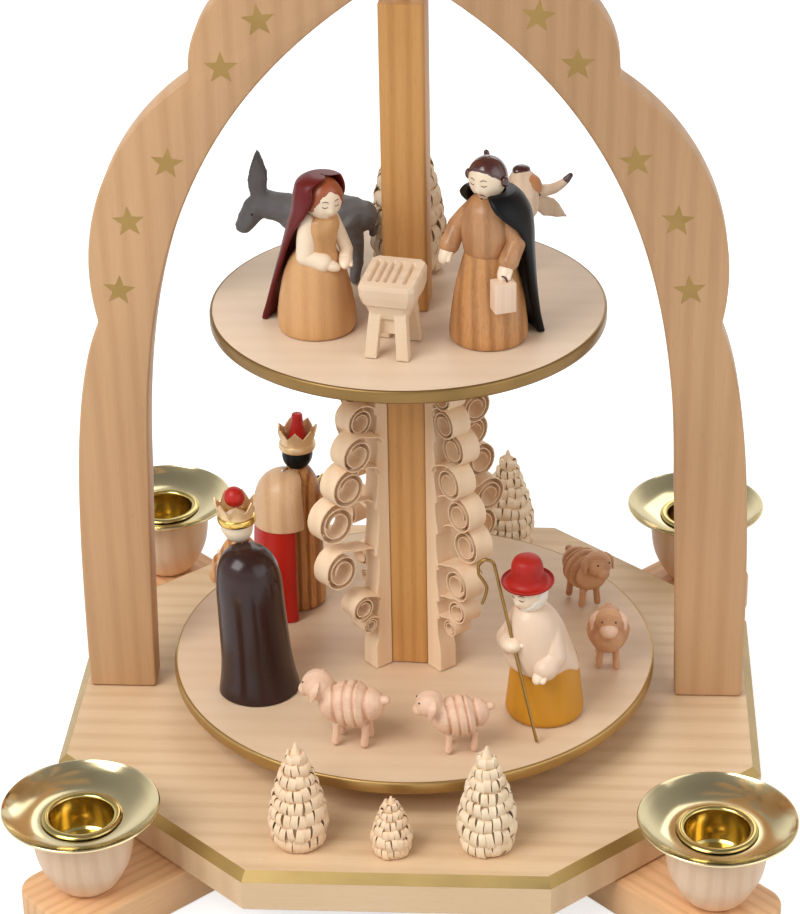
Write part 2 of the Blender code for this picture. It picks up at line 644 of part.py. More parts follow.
def tree(name, place, height, radius, tiers=TREE_TIERS):
    """Tiers of curled shavings whose tips stand out and up."""
    rings = []

    def ring(reach, up, wave):
        """One ring; every other point is drawn in by the wave."""
        points = []
        for i in range(TREE_SIDES):
            drawn = wave * (i % 2)
            points.append(Vector(place) + polar(reach * (1 - drawn), 2 * pi * i / TREE_SIDES,
                                                height * up + reach * drawn))
        rings.append(points)

    ring(radius * TREE_TIP_SHARE, 1.0, 0)
    for tier in range(tiers):
        down = (tier + 1) / tiers
        if down < TREE_WIDEST_SHARE:
            reach = radius * sin(pi / 2 * (down / TREE_WIDEST_SHARE) ** TREE_FULLNESS)
        else:
            past = (down - TREE_WIDEST_SHARE) / (1 - TREE_WIDEST_SHARE)
            reach = radius * (1 - (1 - TREE_FOOT_SHARE) * past ** 2)
        low = 1 - down
        ring(reach, low + TIER_EDGE_SHARE / tiers, TREE_WAVE_SHARE)
        ring(reach * TREE_ROOT_SHARE, low, 0)
    return loft(name, SHAVED_WOOD, rings)


TALL_TREE_HEIGHT = 0.0325
TALL_TREE_RADIUS = 0.0083
SMALL_TREE_HEIGHT = 0.0180
SMALL_TREE_RADIUS = 0.0058
REAR_TREE_HEIGHT = 0.0320
REAR_TREE_RADIUS = 0.0088
TIER_TREE_HEIGHT = 0.0440
TIER_TREE_RADIUS = 0.0104
TREE_ROW_SHARE = 0.83
SMALL_TREE_ROW_SHARE = 0.87
REAR_TREE_ROW_SHARE = 0.87
TREE_SPREAD = 0.0262
FRONT_ROW_SHIFT = -0.0017
TIER_TREE_SHARES = (-0.022, 0.44)
half_depth = PLATE_DEPTH / 2
tree("tree_front_left", (FRONT_ROW_SHIFT - TREE_SPREAD, -half_depth * TREE_ROW_SHARE, ARCH_FOOT), TALL_TREE_HEIGHT,
     TALL_TREE_RADIUS)
tree("tree_front_middle", (FRONT_ROW_SHIFT, -half_depth * SMALL_TREE_ROW_SHARE, ARCH_FOOT), SMALL_TREE_HEIGHT,
     SMALL_TREE_RADIUS, 4)
tree("tree_front_right", (FRONT_ROW_SHIFT + TREE_SPREAD, -half_depth * TREE_ROW_SHARE, ARCH_FOOT), TALL_TREE_HEIGHT,
     TALL_TREE_RADIUS)
tree("tree_back_right", (TREE_SPREAD, half_depth * REAR_TREE_ROW_SHARE, ARCH_FOOT), REAR_TREE_HEIGHT,
     REAR_TREE_RADIUS)
tier_tree_x, tier_tree_y = [share * UPPER_DISC_RADIUS for share in TIER_TREE_SHARES]
tree("tree_upper_tier", (tier_tree_x, tier_tree_y, UPPER_FLOOR), TIER_TREE_HEIGHT, TIER_TREE_RADIUS)

# Turned figures: a body, a head and bent arms, joined into one solid
FIGURE_STEPS = 12


def standing(place_shares, disc_radius, floor, turn, lean=0.0):
    """The frame of a figure that stands on a disc, faces its own -Y and may lean towards +X."""
    x, y = place_shares
    sheared = Matrix.Identity(4)
    sheared[0][2] = lean
    return (Matrix.Translation((x * disc_radius, y * disc_radius, floor)) @ sheared
            @ Matrix.Rotation(turn, 4, "Z"))


def arm_forms(name, height, arms, play=0.0):
    """Balls and rods of both arms, from points in shares of the height, grown by some play."""
    sleeve, wrist = ARM_SHARE * height + play, WRIST_SHARE * height + play
    forms = []
    for side, (shoulder, elbow, hand) in enumerate(arms):
        points = [Vector(point) * height for point in (shoulder, elbow, hand)]
        forms.append(rod(f"{name}_sleeve_{side}", None, points[0], points[1], sleeve, sides=5))
        forms.append(ball(f"{name}_elbow_{side}", None, (sleeve,) * 3, points[1], around=5, rows=4))
        forms.append(rod(f"{name}_forearm_{side}", None, points[1], points[2], sleeve, wrist, sides=5))
        forms.append(ball(f"{name}_hand_{side}", None, (wrist,) * 3, points[2], around=5, rows=4))
    return forms


def figure(name, finish, frame, body, radius, height, head, arms):
    """A turned body with a head and arms; head and arm points are shares of the height."""
    made = turned(name, finish, scaled(body, radius, height), FIGURE_STEPS)
    made.matrix_world = frame
    head_up, head_share = head
    extras = [ball(name + "_head", None, (head_share * height,) * 3, (0, 0, head_up * height),
                   around=8, rows=6)]
    extras += arm_forms(name, height, arms)
    for extra in extras:
        extra.matrix_world = frame
    return join(made, *extras)


def clear_arms(made, name, frame, height, arms):
    """Cut the room for a figure's arms out of its cloak."""
    room = arm_forms(name + "_room", height, arms, ARM_ROOM_SHARE * height)
    for form in room:
        form.matrix_world = frame
    return cut(made, *room)


def cloak(name, finish, frame, rows, radius, height, thickness, shift=0.0):
    """A carved cloak behind a figure: rows of (height, radius, half angle) as a thick shell."""
    around = 6

    def fill(shape):
        bmesh.ops.create_grid(shape, x_segments=around, y_segments=len(rows) - 1, size=1)
        for vertex in shape.verts:
            row = rows[round((vertex.co.y + 1) / 2 * (len(rows) - 1))]
            up, reach, half_angle = row
            angle = pi / 2 + vertex.co.x * half_angle
            vertex.co = polar(radius * reach, angle, height * up) + Vector((0, shift, 0))
    made = add(name, mesh_of(name, fill), finish)
    made.matrix_world = frame
    wall = made.modifiers.new("wall", "SOLIDIFY")
    wall.thickness = thickness
    wall.offset = outward_offset(made)
    wall.use_even_offset = True
    return made


def outward_offset(made):
    """Solidify's offset that grows the wall away from the figure's axis."""
    face = made.data.polygons[0]
    return 1.0 if face.normal.dot(face.center * Vector((1, 1, 0))) > 0 else -1.0


ARM_SHARE = 0.052
WRIST_SHARE = 0.034
ARM_ROOM_SHARE = 0.0057

WOMAN_HEIGHT = 0.0448
WOMAN_RADIUS_SHARE = 0.2429
WOMAN_SKIRT_RADIUS = WOMAN_HEIGHT * WOMAN_RADIUS_SHARE
WOMAN_TURN = radians(52)
WOMAN_PLACE_SHARES = (-0.435, -0.283)
WOMAN_BODY_SHARES = ((0, 0.80), (0.22, 0.78), (0.50, 0.70), (0.52, 0.60), (0.50, 0.535),
                     (0.66, 0.45), (0.90, 0.26), (1.00, 0.05), (0.99, 0), (0, 0))
WOMAN_HEAD_SHARES = (0.875, 0.125)
WOMAN_ARM_SHARES = (((-0.070, 0, 0.69), (-0.130, -0.01, 0.52), (-0.045, -0.160, 0.435)),
                    ((0.070, 0, 0.69), (0.120, -0.02, 0.53), (0.035, -0.165, 0.44)))
WOMAN_CLOAK_SHARES = ((0.00, 1.62, 0.50), (0.10, 1.42, 0.55), (0.25, 1.16, 0.66), (0.42, 0.94, 0.85),
                      (0.60, 0.76, 1.10), (0.75, 0.665, 1.35), (0.88, 0.625, 1.45), (0.96, 0.55, 1.45),
                      (1.02, 0.32, 1.45))
WOMAN_CLOAK_WALL_SHARE = 0.0286
woman_frame = standing(WOMAN_PLACE_SHARES, UPPER_DISC_RADIUS, UPPER_FLOOR, WOMAN_TURN)
figure("woman_figure", ROBE_WOOD, woman_frame, WOMAN_BODY_SHARES, WOMAN_SKIRT_RADIUS, WOMAN_HEIGHT,
       WOMAN_HEAD_SHARES, WOMAN_ARM_SHARES)
cloak("woman_cloak", DARK_RED, woman_frame, WOMAN_CLOAK_SHARES, WOMAN_SKIRT_RADIUS, WOMAN_HEIGHT,
      WOMAN_CLOAK_WALL_SHARE * WOMAN_HEIGHT)

MAN_HEIGHT = 0.0526
MAN_RADIUS_SHARE = 0.2057
MAN_SKIRT_RADIUS = MAN_HEIGHT * MAN_RADIUS_SHARE
MAN_TURN = radians(-30)
MAN_PLACE_SHARES = (0.417, -0.379)
MAN_BODY_SHARES = ((0, 0.80), (0.24, 0.785), (0.54, 0.73), (0.66, 0.62), (0.60, 0.48), (0.72, 0.39),
                   (0.92, 0.20), (1.00, 0.02), (0.99, 0), (0, 0))
MAN_HEAD_SHARES = (0.880, 0.104)
MAN_ARM_SHARES = (((-0.070, 0, 0.715), (-0.160, -0.035, 0.585), (-0.180, -0.115, 0.44)),
                  ((0.070, 0, 0.715), (0.165, 0.010, 0.55), (0.160, -0.105, 0.42)))
MAN_CLOAK_SHARES = ((0.00, 1.34, 0.62), (0.12, 1.16, 0.72), (0.30, 1.04, 0.90), (0.50, 0.94, 1.08),
                    (0.64, 0.93, 1.20), (0.72, 0.86, 1.30), (0.78, 0.70, 1.40), (0.81, 0.56, 1.45))
MAN_CLOAK_WALL_SHARE = 0.0340
LANTERN_SIZE_SHARES = (0.115, 0.095, 0.160)
LANTERN_PLACE_SHARES = (0.183, -0.145, 0.300)
MAN_CLOAK_TURN = radians(-25)
man_frame = standing(MAN_PLACE_SHARES, UPPER_DISC_RADIUS, UPPER_FLOOR, MAN_TURN)
man_figure = figure("man_figure", ROBE_WOOD, man_frame, MAN_BODY_SHARES, MAN_SKIRT_RADIUS, MAN_HEIGHT,
                    MAN_HEAD_SHARES, MAN_ARM_SHARES)
lantern = block("lantern", None, [share * MAN_HEIGHT for share in LANTERN_SIZE_SHARES],
                Vector(LANTERN_PLACE_SHARES) * MAN_HEIGHT)
lantern_loop = rod("lantern_loop", None, Vector(LANTERN_PLACE_SHARES) * MAN_HEIGHT,
                   Vector(MAN_ARM_SHARES[1][2]) * MAN_HEIGHT, WRIST_SHARE * MAN_HEIGHT / 2, sides=6)
for held in (lantern, lantern_loop):
    held.matrix_world = man_frame
join(man_figure, lantern, lantern_loop)
man_cloak = cloak("man_cloak", BLACK, man_frame @ Matrix.Rotation(MAN_CLOAK_TURN, 4, "Z"),
                  MAN_CLOAK_SHARES, MAN_SKIRT_RADIUS, MAN_HEIGHT, MAN_CLOAK_WALL_SHARE * MAN_HEIGHT)
clear_arms(man_cloak, "man", man_frame, MAN_HEIGHT, MAN_ARM_SHARES)

# Crib: a carved trough of straw on splayed legs
CRIB_WIDTH = 0.0165
CRIB_DEPTH = 0.0160
CRIB_HEIGHT = 0.0245
CRIB_PLACE_SHARES = (-0.040, -0.525)
CRIB_TURN = radians(-12)
TROUGH_FOOT_SHARE = 0.46
TROUGH_RIM_SHARE = 0.90
TROUGH_TAPER_SHARE = 0.70
STRAW_ROWS = 5
LEG_HIP_SHARES = (0.22, 0.30, 0.51)
LEG_TOE_SHARES = (0.3888, 0.46)
LEG_WIDTH_SHARE = 0.16
TOE_LIFT_SHARE = 0.35
STRAW_GROOVE_SHARE = 0.25
crib_frame = standing(CRIB_PLACE_SHARES, UPPER_DISC_RADIUS, UPPER_FLOOR, CRIB_TURN)


def crib_rings():
    """Sections of the trough from front to back, with grooves across the straw."""
    half, foot, rim = CRIB_WIDTH / 2, CRIB_HEIGHT * TROUGH_FOOT_SHARE, CRIB_HEIGHT * TROUGH_RIM_SHARE
    crown = []
    for i in range(2 * STRAW_ROWS + 1):
        across = half * (1 - (i + 0.5) / (STRAW_ROWS + 0.5))
        crown.append((across, rim + (CRIB_HEIGHT - rim) * (STRAW_GROOVE_SHARE if i % 2 else 1)))
    section = [(half * TROUGH_TAPER_SHARE, foot), (half, rim)] + crown
    section += [(-half, rim), (-half * TROUGH_TAPER_SHARE, foot)]
    return [[Vector((x, y, z)) for x, z in section] for y in (-CRIB_DEPTH / 2, CRIB_DEPTH / 2)]


crib = loft("crib", SHAVED_WOOD, crib_rings())
crib_legs = []
for sx in (-1, 1):
    for sy in (-1, 1):
        hip_x, hip_y, hip_up = LEG_HIP_SHARES
        toe_x, toe_y = LEG_TOE_SHARES
        leg_radius = CRIB_WIDTH * LEG_WIDTH_SHARE / 2
        hip = (sx * CRIB_WIDTH * hip_x, sy * CRIB_DEPTH * hip_y, CRIB_HEIGHT * hip_up)
        toe = (sx * CRIB_WIDTH * toe_x, sy * CRIB_DEPTH * toe_y, leg_radius * TOE_LIFT_SHARE)
        crib_legs.append(rod(f"crib_leg_{sx}_{sy}", None, toe, hip, leg_radius, leg_radius, sides=4))
for piece in [crib] + crib_legs:
    piece.matrix_world = crib_frame
join(crib, *crib_legs)


# Carved animals, each joined from a few full forms
def animal(name, finish, frame, length, forms):
    """Forms are balls and rods in shares of the animal's length; it faces its own -X."""
    made = []
    for number, (kind, *values) in enumerate(forms):
        label = name if number == 0 else f"{name}_form_{number}"
        tone = finish if number == 0 else None
        if kind == "ball":
            radii, centre, tilt = values
            made.append(ball(label, tone, [r * length for r in radii], Vector(centre) * length,
                             turn=pi / 2, tilt=tilt, around=8, rows=5))
        else:
            start, end, near, far = values
            made.append(rod(label, tone, Vector(start) * length, Vector(end) * length,
                            near * length, far * length, sides=5))
    for form in made:
        form.matrix_world = frame
    return join(made[0], *made[1:])


DONKEY_LENGTH = 0.0420
DONKEY_PLACE_SHARES = (-0.50, 0.24)
DONKEY_TURN = radians(4)
DONKEY_FORM_SHARES = (
    ("ball", (0.145, 0.31, 0.155), (0.13, 0, 0.47), 0.0),
    ("rod", (-0.08, 0, 0.50), (-0.33, 0, 0.57), 0.14, 0.100),
    ("ball", (0.080, 0.150, 0.095), (-0.41, 0, 0.49), -0.95),
    ("rod", (-0.34, 0.035, 0.58), (-0.345, 0.070, 0.925), 0.050, 0.008),
    ("rod", (-0.34, -0.035, 0.58), (-0.345, -0.060, 0.905), 0.050, 0.008),
    ("rod", (-0.06, 0.075, 0), (-0.05, 0.060, 0.45), 0.040, 0.060),
    ("rod", (-0.06, -0.075, 0), (-0.05, -0.060, 0.45), 0.040, 0.060),
    ("rod", (0.32, 0.075, 0), (0.30, 0.060, 0.45), 0.042, 0.075),
    ("rod", (0.32, -0.075, 0), (0.30, -0.060, 0.45), 0.042, 0.075),
    ("rod", (0.45, 0, 0.26), (0.41, 0, 0.52), 0.030, 0.022))
animal("donkey", GREY, standing(DONKEY_PLACE_SHARES, UPPER_DISC_RADIUS, UPPER_FLOOR, DONKEY_TURN),
       DONKEY_LENGTH, DONKEY_FORM_SHARES)

OX_LENGTH = 0.0420
OX_PLACE_SHARES = (0.50, 0.376)
OX_TURN = radians(107)
OX_FORM_SHARES = (
    ("ball", (0.160, 0.31, 0.165), (0.13, 0, 0.40), 0.0),
    ("rod", (-0.06, 0, 0.43), (-0.29, 0, 0.67), 0.14, 0.100),
    ("ball", (0.103, 0.163, 0.105), (-0.365, 0, 0.715), -0.83),
    ("rod", (-0.34, 0.07, 0.755), (-0.35, 0.19, 0.83), 0.034, 0.028),
    ("rod", (-0.35, 0.19, 0.83), (-0.34, 0.25, 1.00), 0.028, 0.010),
    ("rod", (-0.35, -0.07, 0.725), (-0.35, -0.205, 0.725), 0.034, 0.028),
    ("rod", (-0.35, -0.205, 0.725), (-0.36, -0.315, 0.80), 0.028, 0.010),
    ("rod", (-0.33, 0.06, 0.66), (-0.31, 0.27, 0.64), 0.036, 0.012),
    ("rod", (-0.33, -0.06, 0.65), (-0.31, -0.30, 0.56), 0.036, 0.012),
    ("rod", (-0.06, 0.085, 0), (-0.05, 0.070, 0.36), 0.045, 0.065),
    ("rod", (-0.06, -0.085, 0), (-0.05, -0.070, 0.36), 0.045, 0.065),
    ("rod", (0.32, 0.085, 0), (0.30, 0.070, 0.36), 0.045, 0.075),
    ("rod", (0.32, -0.085, 0), (0.30, -0.070, 0.36), 0.045, 0.075))
animal("ox", CREAM_WOOD, standing(OX_PLACE_SHARES, UPPER_DISC_RADIUS, UPPER_FLOOR, OX_TURN),
       OX_LENGTH, OX_FORM_SHARES)

SHEEP_FORM_SHARES = (
    ("ball", (0.36, 0.46, 0.37), (0.08, 0, 0.68), 0.0),
    ("ball", (0.23, 0.27, 0.24), (-0.45, 0, 0.96), -0.35),
    ("rod", (-0.14, 0.15, 0), (-0.12, 0.12, 0.55), 0.065, 0.075),
    ("rod", (-0.14, -0.15, 0), (-0.12, -0.12, 0.55), 0.065, 0.075),
    ("rod", (0.30, 0.15, 0), (0.28, 0.12, 0.55), 0.065, 0.075),
    ("rod", (0.30, -0.15, 0), (0.28, -0.12, 0.55), 0.065, 0.075))
SHEEP_LENGTHS = (0.0186, 0.0165, 0.0172, 0.0172)
SHEEP_PLACE_SHARES = ((-0.222, -0.712), (0.208, -0.752), (0.695, 0.375), (0.795, -0.105))
SHEEP_TURNS = (radians(-8), radians(12), radians(132), radians(90))
for number, (place_shares, turn) in enumerate(zip(SHEEP_PLACE_SHARES, SHEEP_TURNS), 1):
    animal(f"sheep_{number}", SHEEP_WOOD, standing(place_shares, LOWER_DISC_RADIUS, LOWER_FLOOR, turn),
           SHEEP_LENGTHS[number - 1], SHEEP_FORM_SHARES)

# Two kings in robes and crowns, each with a hollow turned cloak glued to the back
KING_HEIGHT = 0.0545
KING_RADIUS_SHARE = 0.1578
KING_RADIUS = KING_HEIGHT * KING_RADIUS_SHARE
KING_PLACE_SHARES = ((-0.652, -0.243), (-0.518, 0.375))
KING_TURNS = (radians(204), radians(140))
KING_LEAN_SHARES = (-0.058, 0.0)
KING_BODY_SHARES = ((0, 0.875), (0.26, 0.865), (0.62, 0.780), (0.80, 0.68), (0.84, 0.52),
                    (0.92, 0.25), (1.00, 0.04), (0.99, 0), (0, 0))
KING_HEAD_SHARES = (0.932, 0.090)
KING_ARM_SHARES = (((-0.075, 0, 0.70), (-0.140, -0.07, 0.60), (-0.045, -0.185, 0.66)),
                   ((0.075, 0, 0.70), (0.140, -0.07, 0.60), (0.045, -0.185, 0.66)))
KING_CLOAK_RADIUS_SHARE = 0.1853
KING_CLOAK_SHIFT_SHARE = 0.1101
KING_CLOAK_WALL_SHARE = 0.0220
KING_CLOAK_SHARES = ((0.00, 1.00, 1.80), (0.10, 0.97, 1.80), (0.32, 0.89, 1.82), (0.52, 0.86, 1.84),
                     (0.68, 0.83, 1.84), (0.76, 0.72, 1.82), (0.82, 0.50, 1.75), (0.845, 0.14, 1.60))
KING_CLOAK_SIZE_SHARES = (1.0, 0.90)
CROWN_SHARES = ((0.086, 1.040), (0.112, 1.090), (0.098, 1.010), (0.086, 0.958))
CROWN_POINTS = 6
CROWN_NOTCH_SHARE = 0.035
CAP_SHARES = ((0.058, 0.058, 0.108), (0.048, 0.048, 0.135))
GIFT_RADIUS_SHARE = 0.062
KING_COLOURS = (BROWN, RED)


def crown_rings():
    """A flared band whose rim is cut into points, from top to bottom."""
    rings = []
    for across, up in CROWN_SHARES:
        notch = CROWN_NOTCH_SHARE if up == max(share for _, share in CROWN_SHARES) else 0
        rings.append([polar(across * KING_HEIGHT, pi * i / CROWN_POINTS,
                            (up - notch * (i % 2)) * KING_HEIGHT) for i in range(2 * CROWN_POINTS)])
    return rings


for number, (place_shares, turn, tone) in enumerate(zip(KING_PLACE_SHARES, KING_TURNS, KING_COLOURS), 1):
    king_frame = standing(place_shares, LOWER_DISC_RADIUS, LOWER_FLOOR, turn, KING_LEAN_SHARES[number - 1])
    king = figure(f"king_{number}_figure", ROBE_WOOD, king_frame, KING_BODY_SHARES, KING_RADIUS,
                  KING_HEIGHT, KING_HEAD_SHARES, KING_ARM_SHARES)
    crown = loft(f"king_{number}_crown", None, crown_rings())
    cap = ball(f"king_{number}_cap", None, [share * KING_HEIGHT for share in CAP_SHARES[number - 1]],
               (0, 0, CROWN_SHARES[0][1] * KING_HEIGHT), around=6, rows=6)
    gift_place = (Vector(KING_ARM_SHARES[0][2]) + Vector(KING_ARM_SHARES[1][2])) / 2 * KING_HEIGHT
    gift = ball(f"king_{number}_gift", None, [GIFT_RADIUS_SHARE * KING_HEIGHT] * 3, gift_place,
                around=6, rows=4)
    for extra in (crown, cap, gift):
        extra.matrix_world = king_frame
    join(king, crown, cap, gift)
    cloak(f"king_{number}_cloak", tone, king_frame, KING_CLOAK_SHARES,
          KING_HEIGHT * KING_CLOAK_RADIUS_SHARE * KING_CLOAK_SIZE_SHARES[number - 1], KING_HEIGHT,
          KING_HEIGHT * KING_CLOAK_WALL_SHARE, KING_HEIGHT * KING_CLOAK_SHIFT_SHARE)

# Shepherd bent forward, with a round hat, a shoulder cape and a wire crook
SHEPHERD_HEIGHT = 0.0480
SHEPHERD_RADIUS_SHARE = 0.2354
SHEPHERD_RADIUS = SHEPHERD_HEIGHT * SHEPHERD_RADIUS_SHARE
SHEPHERD_PLACE_SHARES = (0.550, -0.451)
SHEPHERD_TURN = radians(-45)
SHEPHERD_LEAN = radians(12)
SHEPHERD_WAIST_SHARE = 0.30
SHEPHERD_SKIRT_SHARES = ((0, 0.44), (0.62, 0.43), (0.86, 0.30), (0.97, 0.08), (1.00, 0.03), (0.99, 0), (0, 0))
SHEPHERD_TORSO_SHARES = ((0, 0.50), (0.26, 0.49), (0.58, 0.42), (0.78, 0.30), (0.86, 0.18), (0.88, 0.08),
                         (0.70, 0.00), (0, 0))
SHEPHERD_HEAD_SHARES = (0.565, 0.108)
SHEPHERD_ARM_SHARES = (((-0.080, -0.06, 0.62), (-0.150, -0.150, 0.47), (0.030, -0.262, 0.48)),
                       ((0.080, -0.06, 0.62), (0.190, -0.060, 0.46), (0.120, -0.190, 0.34)))
HAT_SHARES = ((0.0, 0.790), (0.072, 0.785), (0.100, 0.765), (0.106, 0.660), (0.165, 0.640),
              (0.165, 0.622), (0.100, 0.608), (0.0, 0.608))
shepherd_frame = standing(SHEPHERD_PLACE_SHARES, LOWER_DISC_RADIUS, LOWER_FLOOR, SHEPHERD_TURN)
torso_frame = (shepherd_frame @ Matrix.Translation((0, 0, SHEPHERD_WAIST_SHARE * SHEPHERD_HEIGHT))
               @ Matrix.Rotation(SHEPHERD_LEAN, 4, "X"))
shepherd = turned("shepherd", OCHRE, scaled(SHEPHERD_SKIRT_SHARES, SHEPHERD_RADIUS, SHEPHERD_HEIGHT),
                  FIGURE_STEPS)
shepherd.matrix_world = shepherd_frame
torso = turned("shepherd_torso", None, scaled(SHEPHERD_TORSO_SHARES, SHEPHERD_RADIUS, SHEPHERD_HEIGHT),
               FIGURE_STEPS)
shepherd_head = ball("shepherd_head", None, [SHEPHERD_HEAD_SHARES[1] * SHEPHERD_HEIGHT] * 3,
                     (0, 0, SHEPHERD_HEAD_SHARES[0] * SHEPHERD_HEIGHT), rows=6)
hat = turned("shepherd_hat", None, scaled(HAT_SHARES, SHEPHERD_HEIGHT, SHEPHERD_HEIGHT), FIGURE_STEPS)
for upper_form in (torso, shepherd_head, hat):
    upper_form.matrix_world = torso_frame
shepherd_arms = arm_forms("shepherd", SHEPHERD_HEIGHT, SHEPHERD_ARM_SHARES)
for arm in shepherd_arms:
    arm.matrix_world = shepherd_frame
join(shepherd, torso, shepherd_head, hat, *shepherd_arms)

CROOK_RADIUS = 0.0006
CROOK_FOOT_SHARES = (0.2213, -0.2795, 0.0)
CROOK_TOP_SHARES = (-0.1894, -0.2316, 1.0)
CROOK_HOOK_RADIUS = 0.0027
CROOK_TAIL_SHARES = ((0.70, -1.35), (-0.15, -2.20), (0.25, -3.10))
HOOK_STEPS = 5
crook_foot = Vector(CROOK_FOOT_SHARES) * SHEPHERD_HEIGHT + UP * CROOK_RADIUS
crook_top = Vector(CROOK_TOP_SHARES) * SHEPHERD_HEIGHT


def crook_points():
    """A straight staff, a half turn at the top and a wavy tail."""
    across = Matrix.Rotation(-SHEPHERD_TURN, 3, "Z") @ Vector((-1, 0, 0))
    centre = crook_top + across * CROOK_HOOK_RADIUS
    points = [crook_foot, crook_foot.lerp(crook_top, 0.5)]
    for i in range(HOOK_STEPS + 1):
        angle = pi * i / HOOK_STEPS
        points.append(centre - across * CROOK_HOOK_RADIUS * cos(angle) + UP * CROOK_HOOK_RADIUS * sin(angle))
    for inward, down in CROOK_TAIL_SHARES:
        points.append(centre + across * CROOK_HOOK_RADIUS * inward + UP * CROOK_HOOK_RADIUS * down)
    return points


def wire(name, finish, points, radius, frame):
    """A round wire through the given points, with filled ends."""
    curve = bpy.data.curves.new(name, "CURVE")
    curve.dimensions = "3D"
    curve.bevel_depth = radius
    curve.bevel_resolution = 1
    curve.use_fill_caps = True
    line = curve.splines.new("POLY")
    line.points.add(len(points) - 1)
    for point, place in zip(line.points, points):
        point.co = (*place, 1)
    made = bpy.data.objects.new(name, curve)
    made.matrix_world = frame
    return as_mesh(made, name, finish)


wire("shepherd_crook", BRONZE, crook_points(), CROOK_RADIUS, shepherd_frame)
grip = rod("crook_grip", None, crook_foot.lerp(crook_top, 0.2), crook_foot.lerp(crook_top, 0.9),
           CROOK_RADIUS + SEAT_GAP, sides=8, cutter=True)
grip.matrix_world = shepherd_frame
cut(shepherd, grip)

# Rotor hub with a hole for each blade's stem, and a turned finial on top
HUB_SHARES = ((0.80, 1.00), (1.00, 0.82), (1.00, 0.18), (0.80, 0.00))
stem_height = hub_foot + HUB_HEIGHT / 2
hub_bore = SPINDLE_RADIUS + SEAT_GAP
hub_floor = spindle_top + SEAT_GAP
FINIAL_PEG_RADIUS = SPINDLE_RADIUS
FINIAL_PEG_SHARE = 0.25
peg_depth = HUB_HEIGHT * FINIAL_PEG_SHARE
peg_hole, peg_floor = FINIAL_PEG_RADIUS + SEAT_GAP, hub_top - peg_depth - SEAT_GAP
hub_outline = [(0, peg_floor), (peg_hole, peg_floor), (peg_hole, hub_top)]
hub_outline += scaled(HUB_SHARES, HUB_RADIUS, HUB_HEIGHT, hub_foot)
hub_outline += [(hub_bore, hub_foot), (hub_bore, hub_floor), (0, hub_floor)]
rotor_hub = turned("rotor_hub", BEECH, hub_outline, 16)
BLADE_ANGLES = [2 * pi * i / BLADE_COUNT for i in range(BLADE_COUNT)]
stem_end = HUB_RADIUS - STEM_IN_HUB
STEM_SIDES = 8
for number, angle in enumerate(BLADE_ANGLES):
    cut(rotor_hub, rod(f"stem_hole_{number}", None, polar(HUB_RADIUS + CUT_OVERRUN, angle, stem_height),
                       polar(stem_end - SEAT_GAP, angle, stem_height), STEM_RADIUS + SEAT_GAP,
                       sides=STEM_SIDES, cutter=True))

FINIAL_SHARES = ((0, 1.0), (0.46, 0.93), (0.72, 0.74), (0.58, 0.57), (0.34, 0.46), (0.90, 0.22),
                 (1.00, 0.10), (0.96, 0.0))
finial_foot = hub_top + SEAT_GAP
finial_outline = scaled(FINIAL_SHARES, FINIAL_RADIUS, FINIAL_HEIGHT, finial_foot)
finial_outline += [(FINIAL_PEG_RADIUS, finial_foot), (FINIAL_PEG_RADIUS, hub_top - peg_depth),
                   (0, hub_top - peg_depth)]
turned("rotor_finial", BEECH, finial_outline, 12)

# Rotor blades: a thin tapered board glued in a round stem that turns in the hub
BLADE_CORNER_SHARE = 0.20
BLADE_STEPS = 2


def blade_outline():
    """A tapered board with rounded outer corners, root first."""
    root, tip = BLADE_ROOT_WIDTH / 2, BLADE_TIP_WIDTH / 2
    radius = BLADE_TIP_WIDTH * BLADE_CORNER_SHARE
    outline = [(BLADE_ROOT, -root)]
    outline += corner_arc((BLADE_TIP - radius, radius - tip), radius, -pi / 2, 0, BLADE_STEPS)
    outline += corner_arc((BLADE_TIP - radius, tip - radius), radius, 0, pi / 2, BLADE_STEPS)
    return outline + [(BLADE_ROOT, root)]


for number, angle in enumerate(BLADE_ANGLES, 1):
    axis = Matrix.Translation((0, 0, stem_height)) @ Matrix.Rotation(angle, 4, "Z")
    tilted = axis @ Matrix.Rotation(BLADE_PITCH, 4, "X")
    blade = slab(f"rotor_blade_{number}", CREAM_WOOD, blade_outline(), BLADE_THICKNESS, tilted)
    stem = rod(f"blade_stem_{number}", None, (stem_end, 0, 0), (BLADE_ROOT + STEM_ON_BLADE, 0, 0),
               STEM_RADIUS, sides=STEM_SIDES)
    stem.matrix_world = tilted
    join(blade, stem)
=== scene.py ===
import bpy
import bmesh
from math import sin, cos, pi, radians, sqrt, atan2, exp
from mathutils import Matrix, Vector, noise
from random import Random


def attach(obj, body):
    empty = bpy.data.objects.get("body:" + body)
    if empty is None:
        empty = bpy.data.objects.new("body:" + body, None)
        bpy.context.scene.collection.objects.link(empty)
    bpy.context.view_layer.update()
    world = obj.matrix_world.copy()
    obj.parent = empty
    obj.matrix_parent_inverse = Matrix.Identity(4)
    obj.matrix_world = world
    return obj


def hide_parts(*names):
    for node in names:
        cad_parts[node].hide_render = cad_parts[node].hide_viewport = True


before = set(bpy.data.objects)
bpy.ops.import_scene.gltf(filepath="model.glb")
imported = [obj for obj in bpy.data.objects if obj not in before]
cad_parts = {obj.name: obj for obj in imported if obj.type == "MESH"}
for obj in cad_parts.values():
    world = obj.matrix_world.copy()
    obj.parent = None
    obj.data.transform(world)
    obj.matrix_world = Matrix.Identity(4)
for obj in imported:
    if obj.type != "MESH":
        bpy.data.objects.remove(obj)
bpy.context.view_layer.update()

# View
# The carousel is looked at from a little above, through a long lens that is tipped down
# and turned slightly to the left. The frame is 800 wide and 914 high.
FRAME_HEIGHT, SENSOR = 914, 36.0
FOCAL_PIXELS, SHIFT_X, SHIFT_Y = 2766.66, 9.69, 64.80
